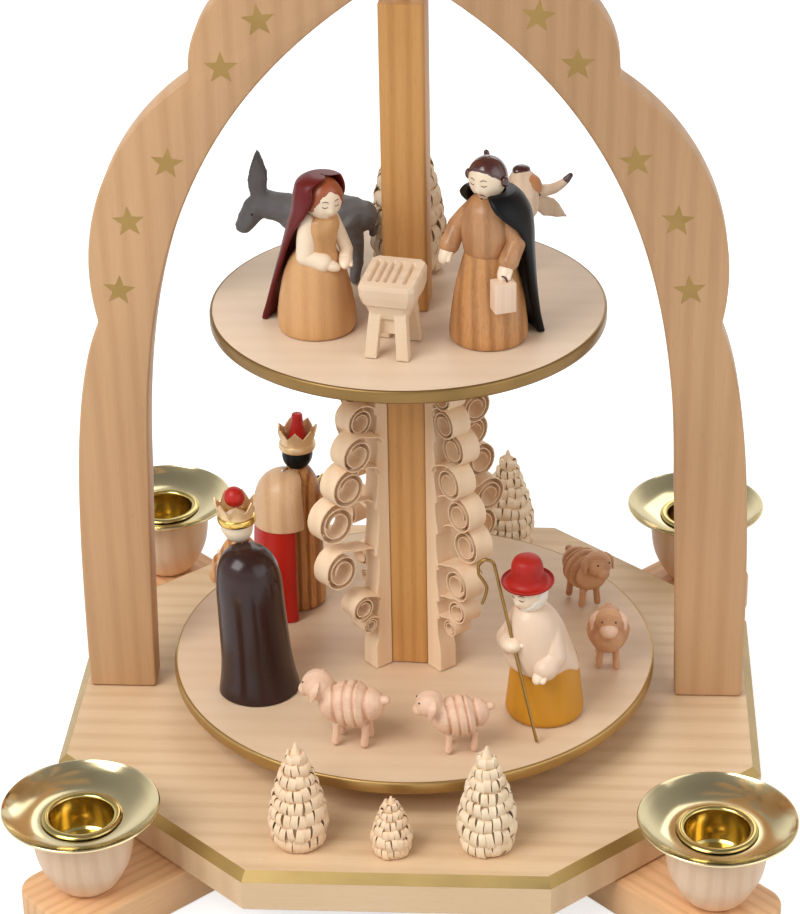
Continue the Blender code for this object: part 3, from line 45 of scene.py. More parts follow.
EYE = (0.04425, -0.70578, 0.48227)
yaw, pitch, roll = radians(-4.101), radians(-29.591), radians(-1.234)
ahead = Vector((sin(yaw) * cos(pitch), cos(yaw) * cos(pitch), sin(pitch)))
level = Vector((cos(yaw), -sin(yaw), 0))
rise = level.cross(ahead)
frame_x = level * cos(roll) + rise * sin(roll)
frame_y = rise * cos(roll) - level * sin(roll)
camera = bpy.data.objects.new("photo_view", bpy.data.cameras.new("photo_view"))
bpy.context.scene.collection.objects.link(camera)
camera.matrix_world = Matrix.Translation(EYE) @ Matrix((frame_x, frame_y, -ahead)).transposed().to_4x4()
camera.data.sensor_width = SENSOR
camera.data.lens = FOCAL_PIXELS * SENSOR / FRAME_HEIGHT
camera.data.shift_x = SHIFT_X / FRAME_HEIGHT
camera.data.shift_y = SHIFT_Y / FRAME_HEIGHT
camera.data.clip_start = 0.01
bpy.context.scene.camera = camera
bpy.context.scene.view_settings.view_transform = "Standard"

# Studio
# A broad soft lamp on the left, a weaker one on the right and a white room, all plain and pale.
# The room is darker overhead, so that the polished trays have something to mirror.
SOFT_BOXES = (("key_light", (-0.75, -0.75, 1.20), 0.9, 17.0), ("fill_light", (1.10, -0.60, 0.75), 1.2, 5.0),
              ("rim_light", (0.20, 1.20, 1.00), 0.9, 4.0))
LIT_HEIGHT = 0.12
ROOM_LIGHT, WHITE, PAPER = 0.52, (1, 1, 1, 1), (0.55, 0.55, 0.55, 1)
ROOM_SHADES = ((0.0, 1.0), (0.34, 1.0), (0.62, 0.42), (1.0, 0.22))
FLOOR_REACH, PAPER_GLOW = 6, 0.70
for lamp_name, place, size, watts in SOFT_BOXES:
    lamp = bpy.data.objects.new(lamp_name, bpy.data.lights.new(lamp_name, "AREA"))
    lamp.data.shape = "SQUARE"
    lamp.data.size = size
    lamp.data.energy = watts
    lamp.location = place
    lamp.rotation_euler = (Vector((0, 0, LIT_HEIGHT)) - lamp.location).to_track_quat("-Z", "Y").to_euler()
    bpy.context.scene.collection.objects.link(lamp)


def fill(tree, node, sockets):
    """Set a node's plain values, and link the outputs of other nodes into it."""
    for socket, value in sockets.items():
        if isinstance(value, bpy.types.NodeSocket):
            tree.links.new(value, node.inputs[socket])
        else:
            node.inputs[socket].default_value = value
    return node


def add(tree, kind, sockets=None, **settings):
    """A new shader node with its settings and inputs."""
    node = tree.nodes.new("ShaderNode" + kind)
    for setting, value in settings.items():
        setattr(node, setting, value)
    return fill(tree, node, sockets or {})


def new_finish(name):
    """A new material, its node tree and its shader."""
    finish = bpy.data.materials.new(name)
    finish.use_nodes = True
    return finish, finish.node_tree, finish.node_tree.nodes["Principled BSDF"]


def corners(x, y):
    """The corners of a rectangle about its middle."""
    return [(-x, -y), (x, -y), (x, y), (-x, y)]


room = bpy.data.worlds.new("white_room")
room.use_nodes = True
bpy.context.scene.world = room
tree = room.node_tree
soft = fill(tree, tree.nodes["Background"], {"Color": WHITE, "Strength": ROOM_LIGHT})
rays = add(tree, "LightPath").outputs
upward = add(tree, "SeparateXYZ", {0: add(tree, "TexCoord").outputs["Generated"]}).outputs["Z"]
shade = add(tree, "ValToRGB", {"Fac": upward})
for spot, (height, grey) in enumerate(ROOM_SHADES):
    stop = shade.color_ramp.elements[spot] if spot < 2 else shade.color_ramp.elements.new(height)
    stop.position = height
    stop.color = (grey, grey, grey, 1)
mirrored = add(tree, "Background", {"Color": shade.outputs["Color"]})
plain = add(tree, "Background", {"Color": WHITE})
mirror = add(tree, "Math", {0: rays["Is Glossy Ray"], 1: rays["Is Transmission Ray"]}, operation="MAXIMUM")
by_ray = add(tree, "MixShader", {0: mirror.outputs[0], 1: soft.outputs[0], 2: mirrored.outputs[0]})
whole = add(tree, "MixShader", {0: rays["Is Camera Ray"], 1: by_ray.outputs[0], 2: plain.outputs[0]})
fill(tree, tree.nodes["World Output"], {"Surface": whole.outputs[0]})

floor_mesh = bpy.data.meshes.new("studio_floor")
floor_mesh.from_pydata([(x, y, 0) for x, y in corners(FLOOR_REACH, FLOOR_REACH)], [], [(0, 1, 2, 3)])
studio_floor = bpy.data.objects.new("studio_floor", floor_mesh)
bpy.context.scene.collection.objects.link(studio_floor)
paper, tree, matt = new_finish("white_paper")
fill(tree, matt, {"Base Color": PAPER, "Roughness": 0.9, "Specular IOR Level": 0.0})
rays = add(tree, "LightPath").outputs
seen = add(tree, "Math", {0: rays["Is Camera Ray"], 1: rays["Is Glossy Ray"]}, operation="MAXIMUM")
level_up = add(tree, "Math", {0: seen.outputs[0], 1: PAPER_GLOW}, operation="MULTIPLY")
glow = add(tree, "Emission", {"Strength": level_up.outputs[0]})
both = add(tree, "AddShader", {0: matt.outputs[0], 1: glow.outputs[0]})
fill(tree, tree.nodes["Material Output"], {"Surface": both.outputs[0]})
floor_mesh.materials.append(paper)


# Foot boards
# Two beech boards cross under the plate, half lapped into each other and glued. Their ends are
# sawn round, their edges sanded, and a hole in each end takes the spigot of a candle cup.
def tone(red, green, blue):
    """A linear colour from its screen values."""
    return tuple(((v / 255 + 0.055) / 1.055) ** 2.4 if v > 10 else v / 255 / 12.92
                 for v in (red, green, blue))


def two_tones(tree, factor, first, second):
    """A colour between two, by a pattern."""
    return add(tree, "Mix", {"Factor": factor, "A": (*first, 1), "B": (*second, 1)},
               data_type="RGBA").outputs["Result"]


def grained(name, pale, dark, along="Z", band=0.0022, roughness=0.5, coat=0.0, turn=0.0, figure=0.55,
            shift=0.0):
    """Planed wood: growth rings across the grain, fine fibres along it and short dark pores."""
    finish, tree, shader = new_finish(name)
    turned_to = add(tree, "Mapping", {"Vector": add(tree, "TexCoord").outputs["Object"],
                                      "Rotation": (0, 0, turn),
                                      "Location": (shift, 0.7 * shift, 0.3 * shift)})

    def drawn_out(share):
        """The coordinates stretched along the grain."""
        scale = [share if axis == along else 1 for axis in "XYZ"]
        return add(tree, "Mapping", {"Vector": turned_to.outputs[0], "Scale": scale}).outputs[0]

    rings = add(tree, "TexWave", {"Vector": drawn_out(0.06), "Scale": 0.314 / band, "Distortion": 9.0,
                                  "Detail": 3.0, "Detail Scale": 0.35}, bands_direction="X" if along != "X"
                                  else "Y")
    fibres, pores, clouds = [
        add(tree, "TexNoise", {"Vector": drawn_out(share), "Scale": scale, "Detail": detail}).outputs["Fac"]
        for share, scale, detail in ((0.03, 1900, 3), (0.12, 2600, 1), (0.3, 45, 2))]
    marks = [add(tree, "MapRange", {"Value": pattern, "From Min": low, "From Max": high,
                                    "To Max": amount}).outputs[0]
             for pattern, low, high, amount in ((rings.outputs["Fac"], 0.35, 1.0, figure),
                                                (fibres, 0.35, 0.7, 0.5 * figure), (clouds, 0.35, 0.7, 0.22),
                                                (pores, 0.62, 0.72, 0.6 * figure))]
    depth = marks[0]
    for mark in marks[1:]:
        depth = add(tree, "Math", {0: depth, 1: mark}).outputs[0]
    relief = add(tree, "Bump", {"Strength": 0.25, "Distance": 0.00006, "Height": fibres})
    fill(tree, shader, {"Roughness": roughness, "Specular IOR Level": 0.3, "Coat Weight": coat,
                        "Coat Roughness": 0.15, "Base Color": two_tones(tree, depth, pale, dark),
                        "Normal": relief.outputs[0]})
    return finish


def skin(name, *shells, loop=False):
    """A mesh over one or more rows of rings; each row is capped, or closed on itself."""
    shape = bmesh.new()
    for rings in shells:
        rows = [[shape.verts.new(point) for point in ring] for ring in rings]
        count = len(rows[0])
        pairs = list(zip(rows, rows[1:])) + ([(rows[-1], rows[0])] if loop else [])
        for first, second in pairs:
            for i in range(count):
                shape.faces.new((first[i], first[(i + 1) % count], second[(i + 1) % count], second[i]))
        if not loop:
            shape.faces.new(rows[0])
            shape.faces.new(rows[-1][::-1])
    bmesh.ops.remove_doubles(shape, verts=shape.verts, dist=1e-7)
    bmesh.ops.recalc_face_normals(shape, faces=shape.faces)
    mesh = bpy.data.meshes.new(name)
    shape.to_mesh(mesh)
    shape.free()
    return mesh


def inset(outline, distance):
    """An anticlockwise outline drawn in by a distance."""
    moved = []
    for i, here in enumerate(outline):
        into = (here - outline[i - 1]).normalized()
        away = (outline[(i + 1) % len(outline)] - here).normalized()
        normal = Vector((-into.y - away.y, into.x + away.x))
        moved.append(here + normal * distance / max(0.4, 1 + into.dot(away)))
    return moved


def sawn(name, outline, thickness, edge, rounds=3):
    """A board sawn to an outline, with its edges sanded round."""
    outline = [Vector(point[:2]) for point in outline]
    rows = []
    for side in (-1, 1):
        for step in range(rounds + 1)[::-side]:
            angle = pi / 2 * step / rounds
            height = side * (thickness / 2 - edge * (1 - cos(angle)))
            row = inset(outline, edge * (1 - sin(angle)))
            rows.append([(point.x, point.y, height) for point in row])
    return skin(name, rows)


def arc(centre, radius, start, end, steps):
    """Points of an arc in the plane."""
    return [Vector((centre[0] + radius * cos(start + (end - start) * i / steps),
                    centre[1] + radius * sin(start + (end - start) * i / steps))) for i in range(steps + 1)]


def turned(angle, axis="Z"):
    """A turn about one axis."""
    return Matrix.Rotation(angle, 4, axis)


def shaped(stock, *tools):
    """The mesh that a blank's modifiers give, without the blank and its tools."""
    bpy.context.view_layer.update()
    graph = bpy.context.evaluated_depsgraph_get()
    result = bpy.data.meshes.new_from_object(stock.evaluated_get(graph))
    result.name = stock.data.name
    for item in (stock, *tools):
        bpy.data.objects.remove(item, do_unlink=True)
    return result


def notched(mesh, *tools):
    """The mesh with other meshes cut out of it."""
    stock = bpy.data.objects.new("stock", mesh)
    bpy.context.scene.collection.objects.link(stock)
    made = []
    for tool in tools:
        made.append(bpy.data.objects.new("tool", tool))
        bpy.context.scene.collection.objects.link(made[-1])
        step = stock.modifiers.new("cut", "BOOLEAN")
        step.solver = "EXACT"
        step.object = made[-1]
    return shaped(stock, *made)


def round_of(count, start=0.0):
    """Angles all round, evenly spaced."""
    return [2 * pi * i / count + start for i in range(count)]


def peg(top, foot, radius, steps=32):
    """A plain cylinder as a cutting tool."""
    return skin("tool", [[(at[0] + radius * cos(a), at[1] + radius * sin(a), at[2])
                          for a in round_of(steps, 0.07)]
                         for at in (top, foot)])


def box(size, centre, turn=0.0):
    """A plain box as a cutting tool."""
    x, y, z = [side / 2 for side in size]
    mesh = skin("tool", [[(*corner, height) for corner in corners(x, y)] for height in (-z, z)])
    mesh.transform(Matrix.Translation(centre) @ turned(turn))
    return mesh


def put(name, mesh, finish, slot, *nodes, body="carousel", crease=38, at=None):
    """Fix a finished piece to the body that carries it, at a place of its own if it has one."""
    if at:
        mesh.transform(at)
    piece = bpy.data.objects.new(name, mesh)
    bpy.context.scene.collection.objects.link(piece)
    mesh.materials.clear()
    mesh.materials.append(finish)
    mesh.polygons.foreach_set("use_smooth", [True] * len(mesh.polygons))
    mesh.set_sharp_from_angle(angle=radians(crease))
    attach(piece, body)
    if nodes:
        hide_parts(*nodes)
    return piece


BOARD_THICKNESS, BOARD_WIDTH, BOARD_HALF, BOARD_ROUND, BOARD_EDGE = 0.0120, 0.0290, 0.1400, 0.0080, 0.0009
CUP_CIRCLE, SPIGOT_HOLE = 0.1237, 0.0033
SPIGOT_HOLE_ENDS = (0.015, 0.0037)
CORNERS = ("back_right", "back_left", "front_left", "front_right")
CUP_ANGLES = [radians(45 + 90 * i) for i in range(4)]
SEAT_GAP, LAP, LAP_SLACK = 0.0003, 0.0082, 0.004
for board_name, angle, upper in (("foot_board_lower", CUP_ANGLES[0], False),
                                 ("foot_board_upper", CUP_ANGLES[1], True)):
    outline = []
    for i, (sx, sy) in enumerate(((1, 1), (-1, 1), (-1, -1), (1, -1))):
        centre = (sx * (BOARD_HALF - BOARD_ROUND), sy * (BOARD_WIDTH / 2 - BOARD_ROUND))
        outline += arc(centre, BOARD_ROUND, i * pi / 2, (i + 1) * pi / 2, 12)
    board = sawn(board_name, outline, BOARD_THICKNESS, BOARD_EDGE)
    side = -1 if upper else 1
    lap_middle = (BOARD_THICKNESS + side * SEAT_GAP) / 2 + side * LAP / 2
    board.transform(Matrix.Translation((0, 0, BOARD_THICKNESS / 2)) @ turned(angle))
    holes = []
    for end in (-1, 1):
        x, y = end * CUP_CIRCLE * cos(angle), end * CUP_CIRCLE * sin(angle)
        holes.append(peg(*[(x, y, z) for z in SPIGOT_HOLE_ENDS], SPIGOT_HOLE))
    lap_tool = box((BOARD_WIDTH + 2 * SEAT_GAP, BOARD_WIDTH + LAP_SLACK, LAP), (0, 0, lap_middle), angle)
    put(board_name + "_planed", notched(board, lap_tool, *holes),
        grained(board_name + "_beech", tone(236, 190, 142), tone(200, 150, 104), "X", 0.0034, 0.48,
                turn=-angle, figure=0.35, shift=0.3 * upper),
        "beech", board_name, body="stand")

# Base plate
# An octagon of pale wood with its grain from left to right. The chamfer round its upper edge
# is rubbed with gold paint.
PLATE_FOOT, PLATE_TOP, CHAMFER = 0.0123, 0.0243, 0.0024
PLATE_HALF_X, PLATE_HALF_Y, PLATE_EDGE = 0.1024, 0.0984, 0.0425
GILDING, PLATE_ARRIS = 0.00007, 0.0006
octagon = [Vector(p) for p in (
    (PLATE_HALF_X, -PLATE_EDGE), (PLATE_HALF_X, PLATE_EDGE), (PLATE_EDGE, PLATE_HALF_Y),
    (-PLATE_EDGE, PLATE_HALF_Y), (-PLATE_HALF_X, PLATE_EDGE), (-PLATE_HALF_X, -PLATE_EDGE),
    (-PLATE_EDGE, -PLATE_HALF_Y), (PLATE_EDGE, -PLATE_HALF_Y))]


def plate_row(drawn_in, height):
    """The plate's outline drawn in by a distance, at a height."""
    return [(point.x, point.y, height) for point in inset(octagon, drawn_in)]


def toned(colour, share, lift=0.0):
    """A colour made darker or paler by a share."""
    return [min(1, c * share + lift) for c in colour]


def gilt(name, colour, roughness=0.34):
    """Bronze paint: metal flakes that shine unevenly, with brush marks."""
    finish, tree, shader = new_finish(name)
    place = add(tree, "TexCoord").outputs["Object"]
    flakes = add(tree, "TexNoise", {"Vector": place, "Scale": 700, "Detail": 4}).outputs["Fac"]
    worn = add(tree, "TexNoise", {"Vector": place, "Scale": 60}).outputs["Fac"]
    sheen = add(tree, "MapRange", {"Value": flakes, "To Min": roughness - 0.08, "To Max": roughness + 0.14})
    relief = add(tree, "Bump", {"Strength": 0.2, "Distance": 0.00005, "Height": flakes})
    tint = two_tones(tree, worn, toned(colour, 0.72), toned(colour, 1.25))
    fill(tree, shader, {"Metallic": 0.75, "Base Color": tint, "Roughness": sheen.outputs[0],
                        "Normal": relief.outputs[0]})
    return finish


plate = skin("base_plate", [plate_row(PLATE_ARRIS, PLATE_FOOT), plate_row(0, PLATE_FOOT + PLATE_ARRIS),
                            plate_row(0, PLATE_TOP - CHAMFER), plate_row(CHAMFER, PLATE_TOP)])
LEG_MIDDLE, MORTISE = 0.0885, (0.0116, 0.0066, 0.0160)
plate = notched(plate, peg((0, 0, 0.03), (0, 0, 0.0190), 0.0063),
                *[box(MORTISE, (side * LEG_MIDDLE, 0, PLATE_TOP)) for side in (-1, 1)])
put("base_plate_planed", plate,
    grained("plate_grain", tone(228, 198, 160), tone(196, 158, 116), "X", 0.0070, 0.45, figure=0.26),
    "plate_wood", "base_plate", body="stand", crease=20)
put("base_plate_gilding",
    skin("base_plate_gilding", [plate_row(0, PLATE_TOP - CHAMFER), plate_row(CHAMFER, PLATE_TOP),
                                plate_row(CHAMFER, PLATE_TOP + GILDING),
                                plate_row(-GILDING, PLATE_TOP - CHAMFER)], loop=True),
    gilt("plate_gilding", tone(176, 148, 92)), "brass", body="stand", crease=20)


# Candle cups, drip trays and sockets
# Each cup is turned from beech and glued into its board. A spun brass tray lies on it, and a
# drawn brass socket with a rolled lip is screwed down through the tray.
def eased(points, steps=6):
    """A smooth line through points."""
    points = [Vector(point) for point in points]
    line = [points[0]]
    for i in range(len(points) - 1):
        a, b, c, d = points[max(i - 1, 0)], points[i], points[i + 1], points[min(i + 2, len(points) - 1)]
        for step in range(1, steps + 1):
            t = step / steps
            line.append(0.5 * (2 * b + (c - a) * t + (2 * a - 5 * b + 4 * c - d) * t * t
                               + (3 * b - a - 3 * c + d) * t ** 3))
    return line


def soften(outline, radius, steps=3, closed=False):
    """An outline whose sharp corners are rounded a little."""
    outline = [Vector(point) for point in outline]
    last = len(outline)
    line = []
    for i, here in enumerate(outline):
        if not closed and i in (0, last - 1):
            line.append(here)
            continue
        before, after = outline[i - 1] - here, outline[(i + 1) % last] - here
        if before.length < 1e-7 or after.length < 1e-7 or before.angle(after, pi) > radians(155):
            line.append(here)
            continue
        reach = min(radius, before.length / 2, after.length / 2)
        start, end = here + before.normalized() * reach, here + after.normalized() * reach
        for step in range(steps + 1):
            t = step / steps
            line.append(start * (1 - t) ** 2 + here * 2 * t * (1 - t) + end * t * t)
    return line


def turning(outline, steps=64):
    """Rings of a piece turned on the lathe from an outline of (radius, height) points."""
    return [[(radius * cos(a), radius * sin(a), height) for a in round_of(steps)]
            for radius, height in outline]


def metal(name, colour, roughness, streak=0.05):
    """Polished sheet metal with faint spinning marks and finger-soft patches."""
    finish, tree, shader = new_finish(name)
    place = add(tree, "TexCoord").outputs["Object"]
    patches = add(tree, "TexNoise", {"Vector": place, "Scale": 90, "Detail": 3}).outputs["Fac"]
    dull = add(tree, "MapRange", {"Value": patches, "To Min": max(0.02, roughness - streak),
                                  "To Max": roughness + streak})
    tint = two_tones(tree, patches, toned(colour, 0.93), toned(colour, 1.05))
    fill(tree, shader, {"Metallic": 1.0, "Roughness": dull.outputs[0], "Base Color": tint})
    return finish


CUP_FOOT, CUP_TOP = 0.0123, 0.0341
cup_bowl = eased([(0.0067, CUP_FOOT), (0.0088, 0.0142), (0.0107, 0.0172), (0.0124, 0.0206), (0.0134, 0.0240),
                  (0.0140, 0.0285), (0.0142, CUP_TOP)])
cup_outline = soften([Vector(p) for p in ((0, 0.0040), (0.0030, 0.0040), (0.0030, CUP_FOOT))] + cup_bowl
                     + [Vector(p) for p in ((0.0097, CUP_TOP), (0.0097, 0.0211), (0, 0.0211))], 0.0004)
TRAY_SHEET, TRAY_RIM = 0.0006, (0.0216, 0.0388, 0.0004)
tray_line = eased([(0.0094, 0.0350), (0.0117, 0.0350), (0.0140, 0.0353), (0.0165, 0.0361), (0.0190, 0.0373),
                   (0.0209, 0.0386), (0.0216, 0.0392)], 5)
tray_rim = [Vector((TRAY_RIM[0] + TRAY_RIM[2] * sin(a), TRAY_RIM[1] + TRAY_RIM[2] * cos(a)))
            for a in [pi * k / 6 for k in range(1, 6)]]
tray_outline = tray_line + tray_rim + [Vector((p.x, p.y - TRAY_SHEET)) for p in tray_line[::-1]]
LIP_FOOT, SOCKET_WALL, SOCKET_BORE, SOCKET_FLOOR, SHEET = 0.0353, 0.0094, 0.0088, 0.0244, 0.0006
lip_line = eased([(SOCKET_BORE, 0.0348), (0.0090, 0.0356), (0.0096, 0.0360), (0.0104, 0.03605),
                  (0.0111, 0.0357), (0.01135, 0.0353)], 4)
socket_outline = [Vector(p) for p in ((0, SOCKET_FLOOR + SHEET), (0.0080, SOCKET_FLOOR + SHEET),
                                      (0.0087, SOCKET_FLOOR + 2 * SHEET), (SOCKET_BORE, 0.0262))] + lip_line
socket_outline += [Vector(p) for p in ((0.0100, LIP_FOOT), (SOCKET_WALL, LIP_FOOT - 0.0002),
                                       (SOCKET_WALL, SOCKET_FLOOR), (0, SOCKET_FLOOR))]
tray_brass = metal("tray_brass", tone(224, 208, 164), 0.16)
socket_brass = metal("socket_brass", tone(206, 184, 118), 0.19)
screw_brass = metal("screw_brass", tone(206, 170, 90), 0.24)
cup_beech = grained("cup_beech", tone(236, 206, 176), tone(210, 168, 132), "Z", 0.0040, 0.42, figure=0.25)
SCREW_HEAD = [(0, SOCKET_FLOOR + 0.0017), (0.0014, SOCKET_FLOOR + 0.0016), (0.0026, SOCKET_FLOOR + 0.0012),
              (0.0030, SOCKET_FLOOR + SHEET), (0, SOCKET_FLOOR + SHEET)]
SCREW_SLOT, SLOT_HEIGHT, SLOT_TURN = (0.0080, 0.0007, 0.0012), SOCKET_FLOOR + 0.0019, 0.5
for corner, angle in zip(CORNERS, CUP_ANGLES):
    stand_at = Matrix.Translation((CUP_CIRCLE * cos(angle), CUP_CIRCLE * sin(angle), 0))
    for piece, outline, finish, slot, closed in (
            ("candle_cup", cup_outline, cup_beech, "beech", False),
            ("drip_tray", tray_outline, tray_brass, "brass", True),
            ("candle_socket", socket_outline, socket_brass, "brass", False)):
        put(f"{piece}_{corner}_turned", skin(piece, turning(outline, 96), loop=closed), finish, slot,
            f"{piece}_{corner}", body="stand", at=stand_at)
    screw = notched(skin("socket_screw", turning(eased(SCREW_HEAD[:4], 3) + [Vector(SCREW_HEAD[4])], 40)),
                    box(SCREW_SLOT, (0, 0, SLOT_HEIGHT), SLOT_TURN + angle))
    put(f"socket_screw_{corner}", screw, screw_brass, "brass", body="stand", at=stand_at)

# Arch
# A pointed arch with three lobes on each side is sawn from one board and stands on two tenons.
# Five gold stars are stencilled on the front of each limb.
ARCH_FOOT, ARCH_HALF, ARCH_HEIGHT, ARCH_THICKNESS = 0.0246, 0.0986, 0.2490, 0.0100
SIDE_LOBE = ((0.0200, 0.1370), 0.0692)
TOP_LOBE = ((0.0300, 0.1970), 0.0280)
CROWN_LOBE = ((0.0, 0.2260), 0.0230)


def bent(a, b, c, d, steps):
    """Points of a cubic curve after its first point."""
    a, b, c, d = [Vector(p) for p in (a, b, c, d)]
    return [a * (1 - t) ** 3 + b * 3 * t * (1 - t) ** 2 + c * 3 * t * t * (1 - t) + d * t ** 3
            for t in [i / steps for i in range(1, steps + 1)]]


def lobes_meet(first, second):
    """The outer point where two lobes cross."""
    (a, ra), (b, rb) = first, second
    a, b = Vector(a), Vector(b)
    gap = (b - a).length
    along = (ra * ra - rb * rb + gap * gap) / (2 * gap)
    across = sqrt(ra * ra - along * along)
    unit = (b - a) / gap
    side = Vector((-unit.y, unit.x)) * across
    return max((a + unit * along + side, a + unit * along - side), key=lambda p: p.x)


def lobe(disc, start, end, steps):
    """Points of a lobe after its start."""
    centre, radius = disc
    first = atan2(start.y - centre[1], start.x - centre[0])
    last = atan2(end.y - centre[1], end.x - centre[0])
    return arc(centre, radius, first, last, steps)[1:]


def arch_point(across, up):
    """A place on the arch, in shares of its half width and its height."""
    return Vector((across * ARCH_HALF, up * ARCH_HEIGHT))


shoulder_height = 0.490 * ARCH_HEIGHT
shoulder = Vector((SIDE_LOBE[0][0] + sqrt(SIDE_LOBE[1] ** 2 - (shoulder_height - SIDE_LOBE[0][1]) ** 2),
                   shoulder_height))
leg_foot = arch_point(1.000, 0.0)
arch_line = [leg_foot] + bent(leg_foot, arch_point(0.996, 0.160), arch_point(1.004, 0.394), shoulder, 24)
arch_line += lobe(SIDE_LOBE, shoulder, lobes_meet(SIDE_LOBE, TOP_LOBE), 30)
arch_line += lobe(TOP_LOBE, lobes_meet(SIDE_LOBE, TOP_LOBE), lobes_meet(TOP_LOBE, CROWN_LOBE), 22)
arch_line += lobe(CROWN_LOBE, lobes_meet(TOP_LOBE, CROWN_LOBE), Vector((0, ARCH_HEIGHT)), 16)
inner_apex = arch_point(0, 0.904)
inner_line = [inner_apex] + bent(inner_apex, arch_point(0.6085, 0.763), arch_point(0.7606, 0.5623),
                                 arch_point(0.773, 0.281), 44)
inner_line += bent(arch_point(0.773, 0.281), arch_point(0.785, 0.190), arch_point(0.790, 0.100),
                   arch_point(0.796, 0), 12)
arch_outline = arch_line + [Vector((-p.x, p.y)) for p in arch_line[-2::-1]]
arch_outline += [Vector((-p.x, p.y)) for p in inner_line[:0:-1]] + inner_line
ARCH_BORES = ((0.245, 0.0028), (0.2613, 0.0035), (0.2716, 0.0100))
BORE_TOP, TENON, TENON_DROP = 0.280, (0.0110, 0.0060, 0.0085), 0.0040
arch_mesh = sawn("arch", soften(arch_outline, 0.0012, 3, closed=True), ARCH_THICKNESS, 0.0007)
arch_mesh.transform(Matrix.Translation((0, 0, ARCH_FOOT)) @ turned(pi / 2, "X"))
arch_mesh = notched(arch_mesh, *[peg((0, 0, BORE_TOP), (0, 0, foot), radius) for foot, radius in ARCH_BORES])
arch_grain = grained("arch_grain", tone(206, 165, 124), tone(180, 138, 96), "Z", 0.0060, 0.50, figure=0.3,
                     shift=0.11)
put("arch_sawn", arch_mesh, arch_grain, "beech", "arch", body="stand")
for side, name in ((-1, "left"), (1, "right")):
    tenon = box(TENON, (side * LEG_MIDDLE, 0, ARCH_FOOT - TENON_DROP))
    put(f"arch_tenon_{name}", tenon, arch_grain, "beech", body="stand")

STARS = ((0.0797, 0.1333, 0.10), (0.0757, 0.1541, -0.05), (0.0640, 0.1715, 0.12), (0.0478, 0.1990, 0.0),
         (0.0372, 0.2123, -0.10))
STAR_REACH, STAR_WAIST, STAR_SHIFT, STAR_LIFT = 0.0047, 0.42, (-0.0012, -0.0001), 0.0007
STAR_FACES = (-ARCH_THICKNESS / 2, -ARCH_THICKNESS / 2 - 0.00006)
star_paint = gilt("star_paint", tone(160, 130, 76), 0.42)
for side, name in ((-1, "left"), (1, "right")):
    for number, (x, z, tilt) in enumerate(STARS, 1):
        points = []
        for i, angle in enumerate(round_of(10, pi / 2 + side * tilt)):
            reach = STAR_REACH * (STAR_WAIST if i % 2 else 1)
            points.append((side * (x + STAR_SHIFT[0] * side) + reach * cos(angle),
                           z + STAR_SHIFT[1] + STAR_LIFT * side + PLATE_TOP + reach * sin(angle)))
        star = skin("star", [[(px, front, pz) for px, pz in points] for front in STAR_FACES])
        put(f"star_{name}_{number}", star, star_paint, "brass", body="stand")

# Bearing, bush and spindle
# The spindle is a ground steel rod whose point turns in a glass cup let into the plate, while a
# brass bush in the top of the arch keeps it upright.
SPINDLE_RADIUS, SPINDLE_POINT, SPINDLE_TOP = 0.0018, 0.0221, 0.3020
bearing_glass, tree, clear = new_finish("bearing_glass")
fill(tree, clear, {"Base Color": (0.86, 0.93, 0.94, 1), "Roughness": 0.04, "Transmission Weight": 0.9})
glass_outline = soften([(0, 0.02177), (0.00372, 0.0258), (0.0060, 0.0258), (0.0060, 0.0193), (0, 0.0193)],
                       0.0005)
put("glass_bearing_cup", skin("glass_bearing", turning(glass_outline, 48)), bearing_glass,
    "glass", "glass_bearing", body="stand")
bush_outline = soften([(0.0021, 0.2729), (0.0044, 0.2729), (0.0044, 0.2719), (0.0032, 0.2719),
                       (0.0032, 0.2616), (0.0021, 0.2616)], 0.0002, closed=True)
put("top_bush_turned", skin("top_bush", turning(bush_outline, 48), loop=True), screw_brass,
    "brass", "top_bush", body="stand")
spindle_outline = soften([(0, SPINDLE_TOP), (SPINDLE_RADIUS, SPINDLE_TOP), (SPINDLE_RADIUS, 0.0257),
                          (0, SPINDLE_POINT)], 0.0003)
put("spindle_ground", skin("spindle", turning(spindle_outline, 32)),
    metal("spindle_steel", tone(190, 190, 192), 0.22), "steel", "spindle")

# Discs
# Two discs of pale wood are pushed on the spindle. Their faces are left natural and their rims
# are painted gold, a little over the upper edge.
DISC_THICKNESS, DISC_BORE, DISC_RIM = 0.0038, 0.0021, 0.0001
for disc_name, radius, top, shift, pale, dark, gold in (
        ("lower_disc", 0.0721, 0.0374, 0.0, (220, 192, 160), (202, 168, 134), (174, 140, 84)),
        ("upper_disc", 0.0559, 0.1516, 0.21, (226, 203, 177), (210, 181, 150), (138, 108, 62))):
    foot = top - DISC_THICKNESS
    wood_outline = soften([(DISC_BORE, top), (radius - DISC_RIM, top), (radius - DISC_RIM, foot),
                           (DISC_BORE, foot)], 0.0007, 4, closed=True)
    put(disc_name + "_planed", skin(disc_name, turning(wood_outline, 192), loop=True),
        grained(disc_name + "_grain", tone(*pale), tone(*dark), "X", 0.0075, 0.46, figure=0.16, shift=shift),
        "cream_wood", disc_name, crease=50)
    rim = [(radius - 0.0008, top - 0.00002), (radius - 0.0008, top + 0.00005),
           (radius - 0.0004, top - 0.00001), (radius - 0.0001, top - 0.0003), (radius, top - 0.0007),
           (radius, foot + 0.0007), (radius - 0.0002, foot + 0.0002), (radius - 0.0008, foot - 0.00005),
           (radius - 0.0008, foot + 0.0003), (radius - 0.0006, foot + 0.0012),
           (radius - 0.0006, top - 0.0012)]
    put(disc_name + "_rim", skin(disc_name + "_rim", turning(rim, 192), loop=True),
        gilt(disc_name + "_gilding", tone(*gold)), "brass", crease=50)

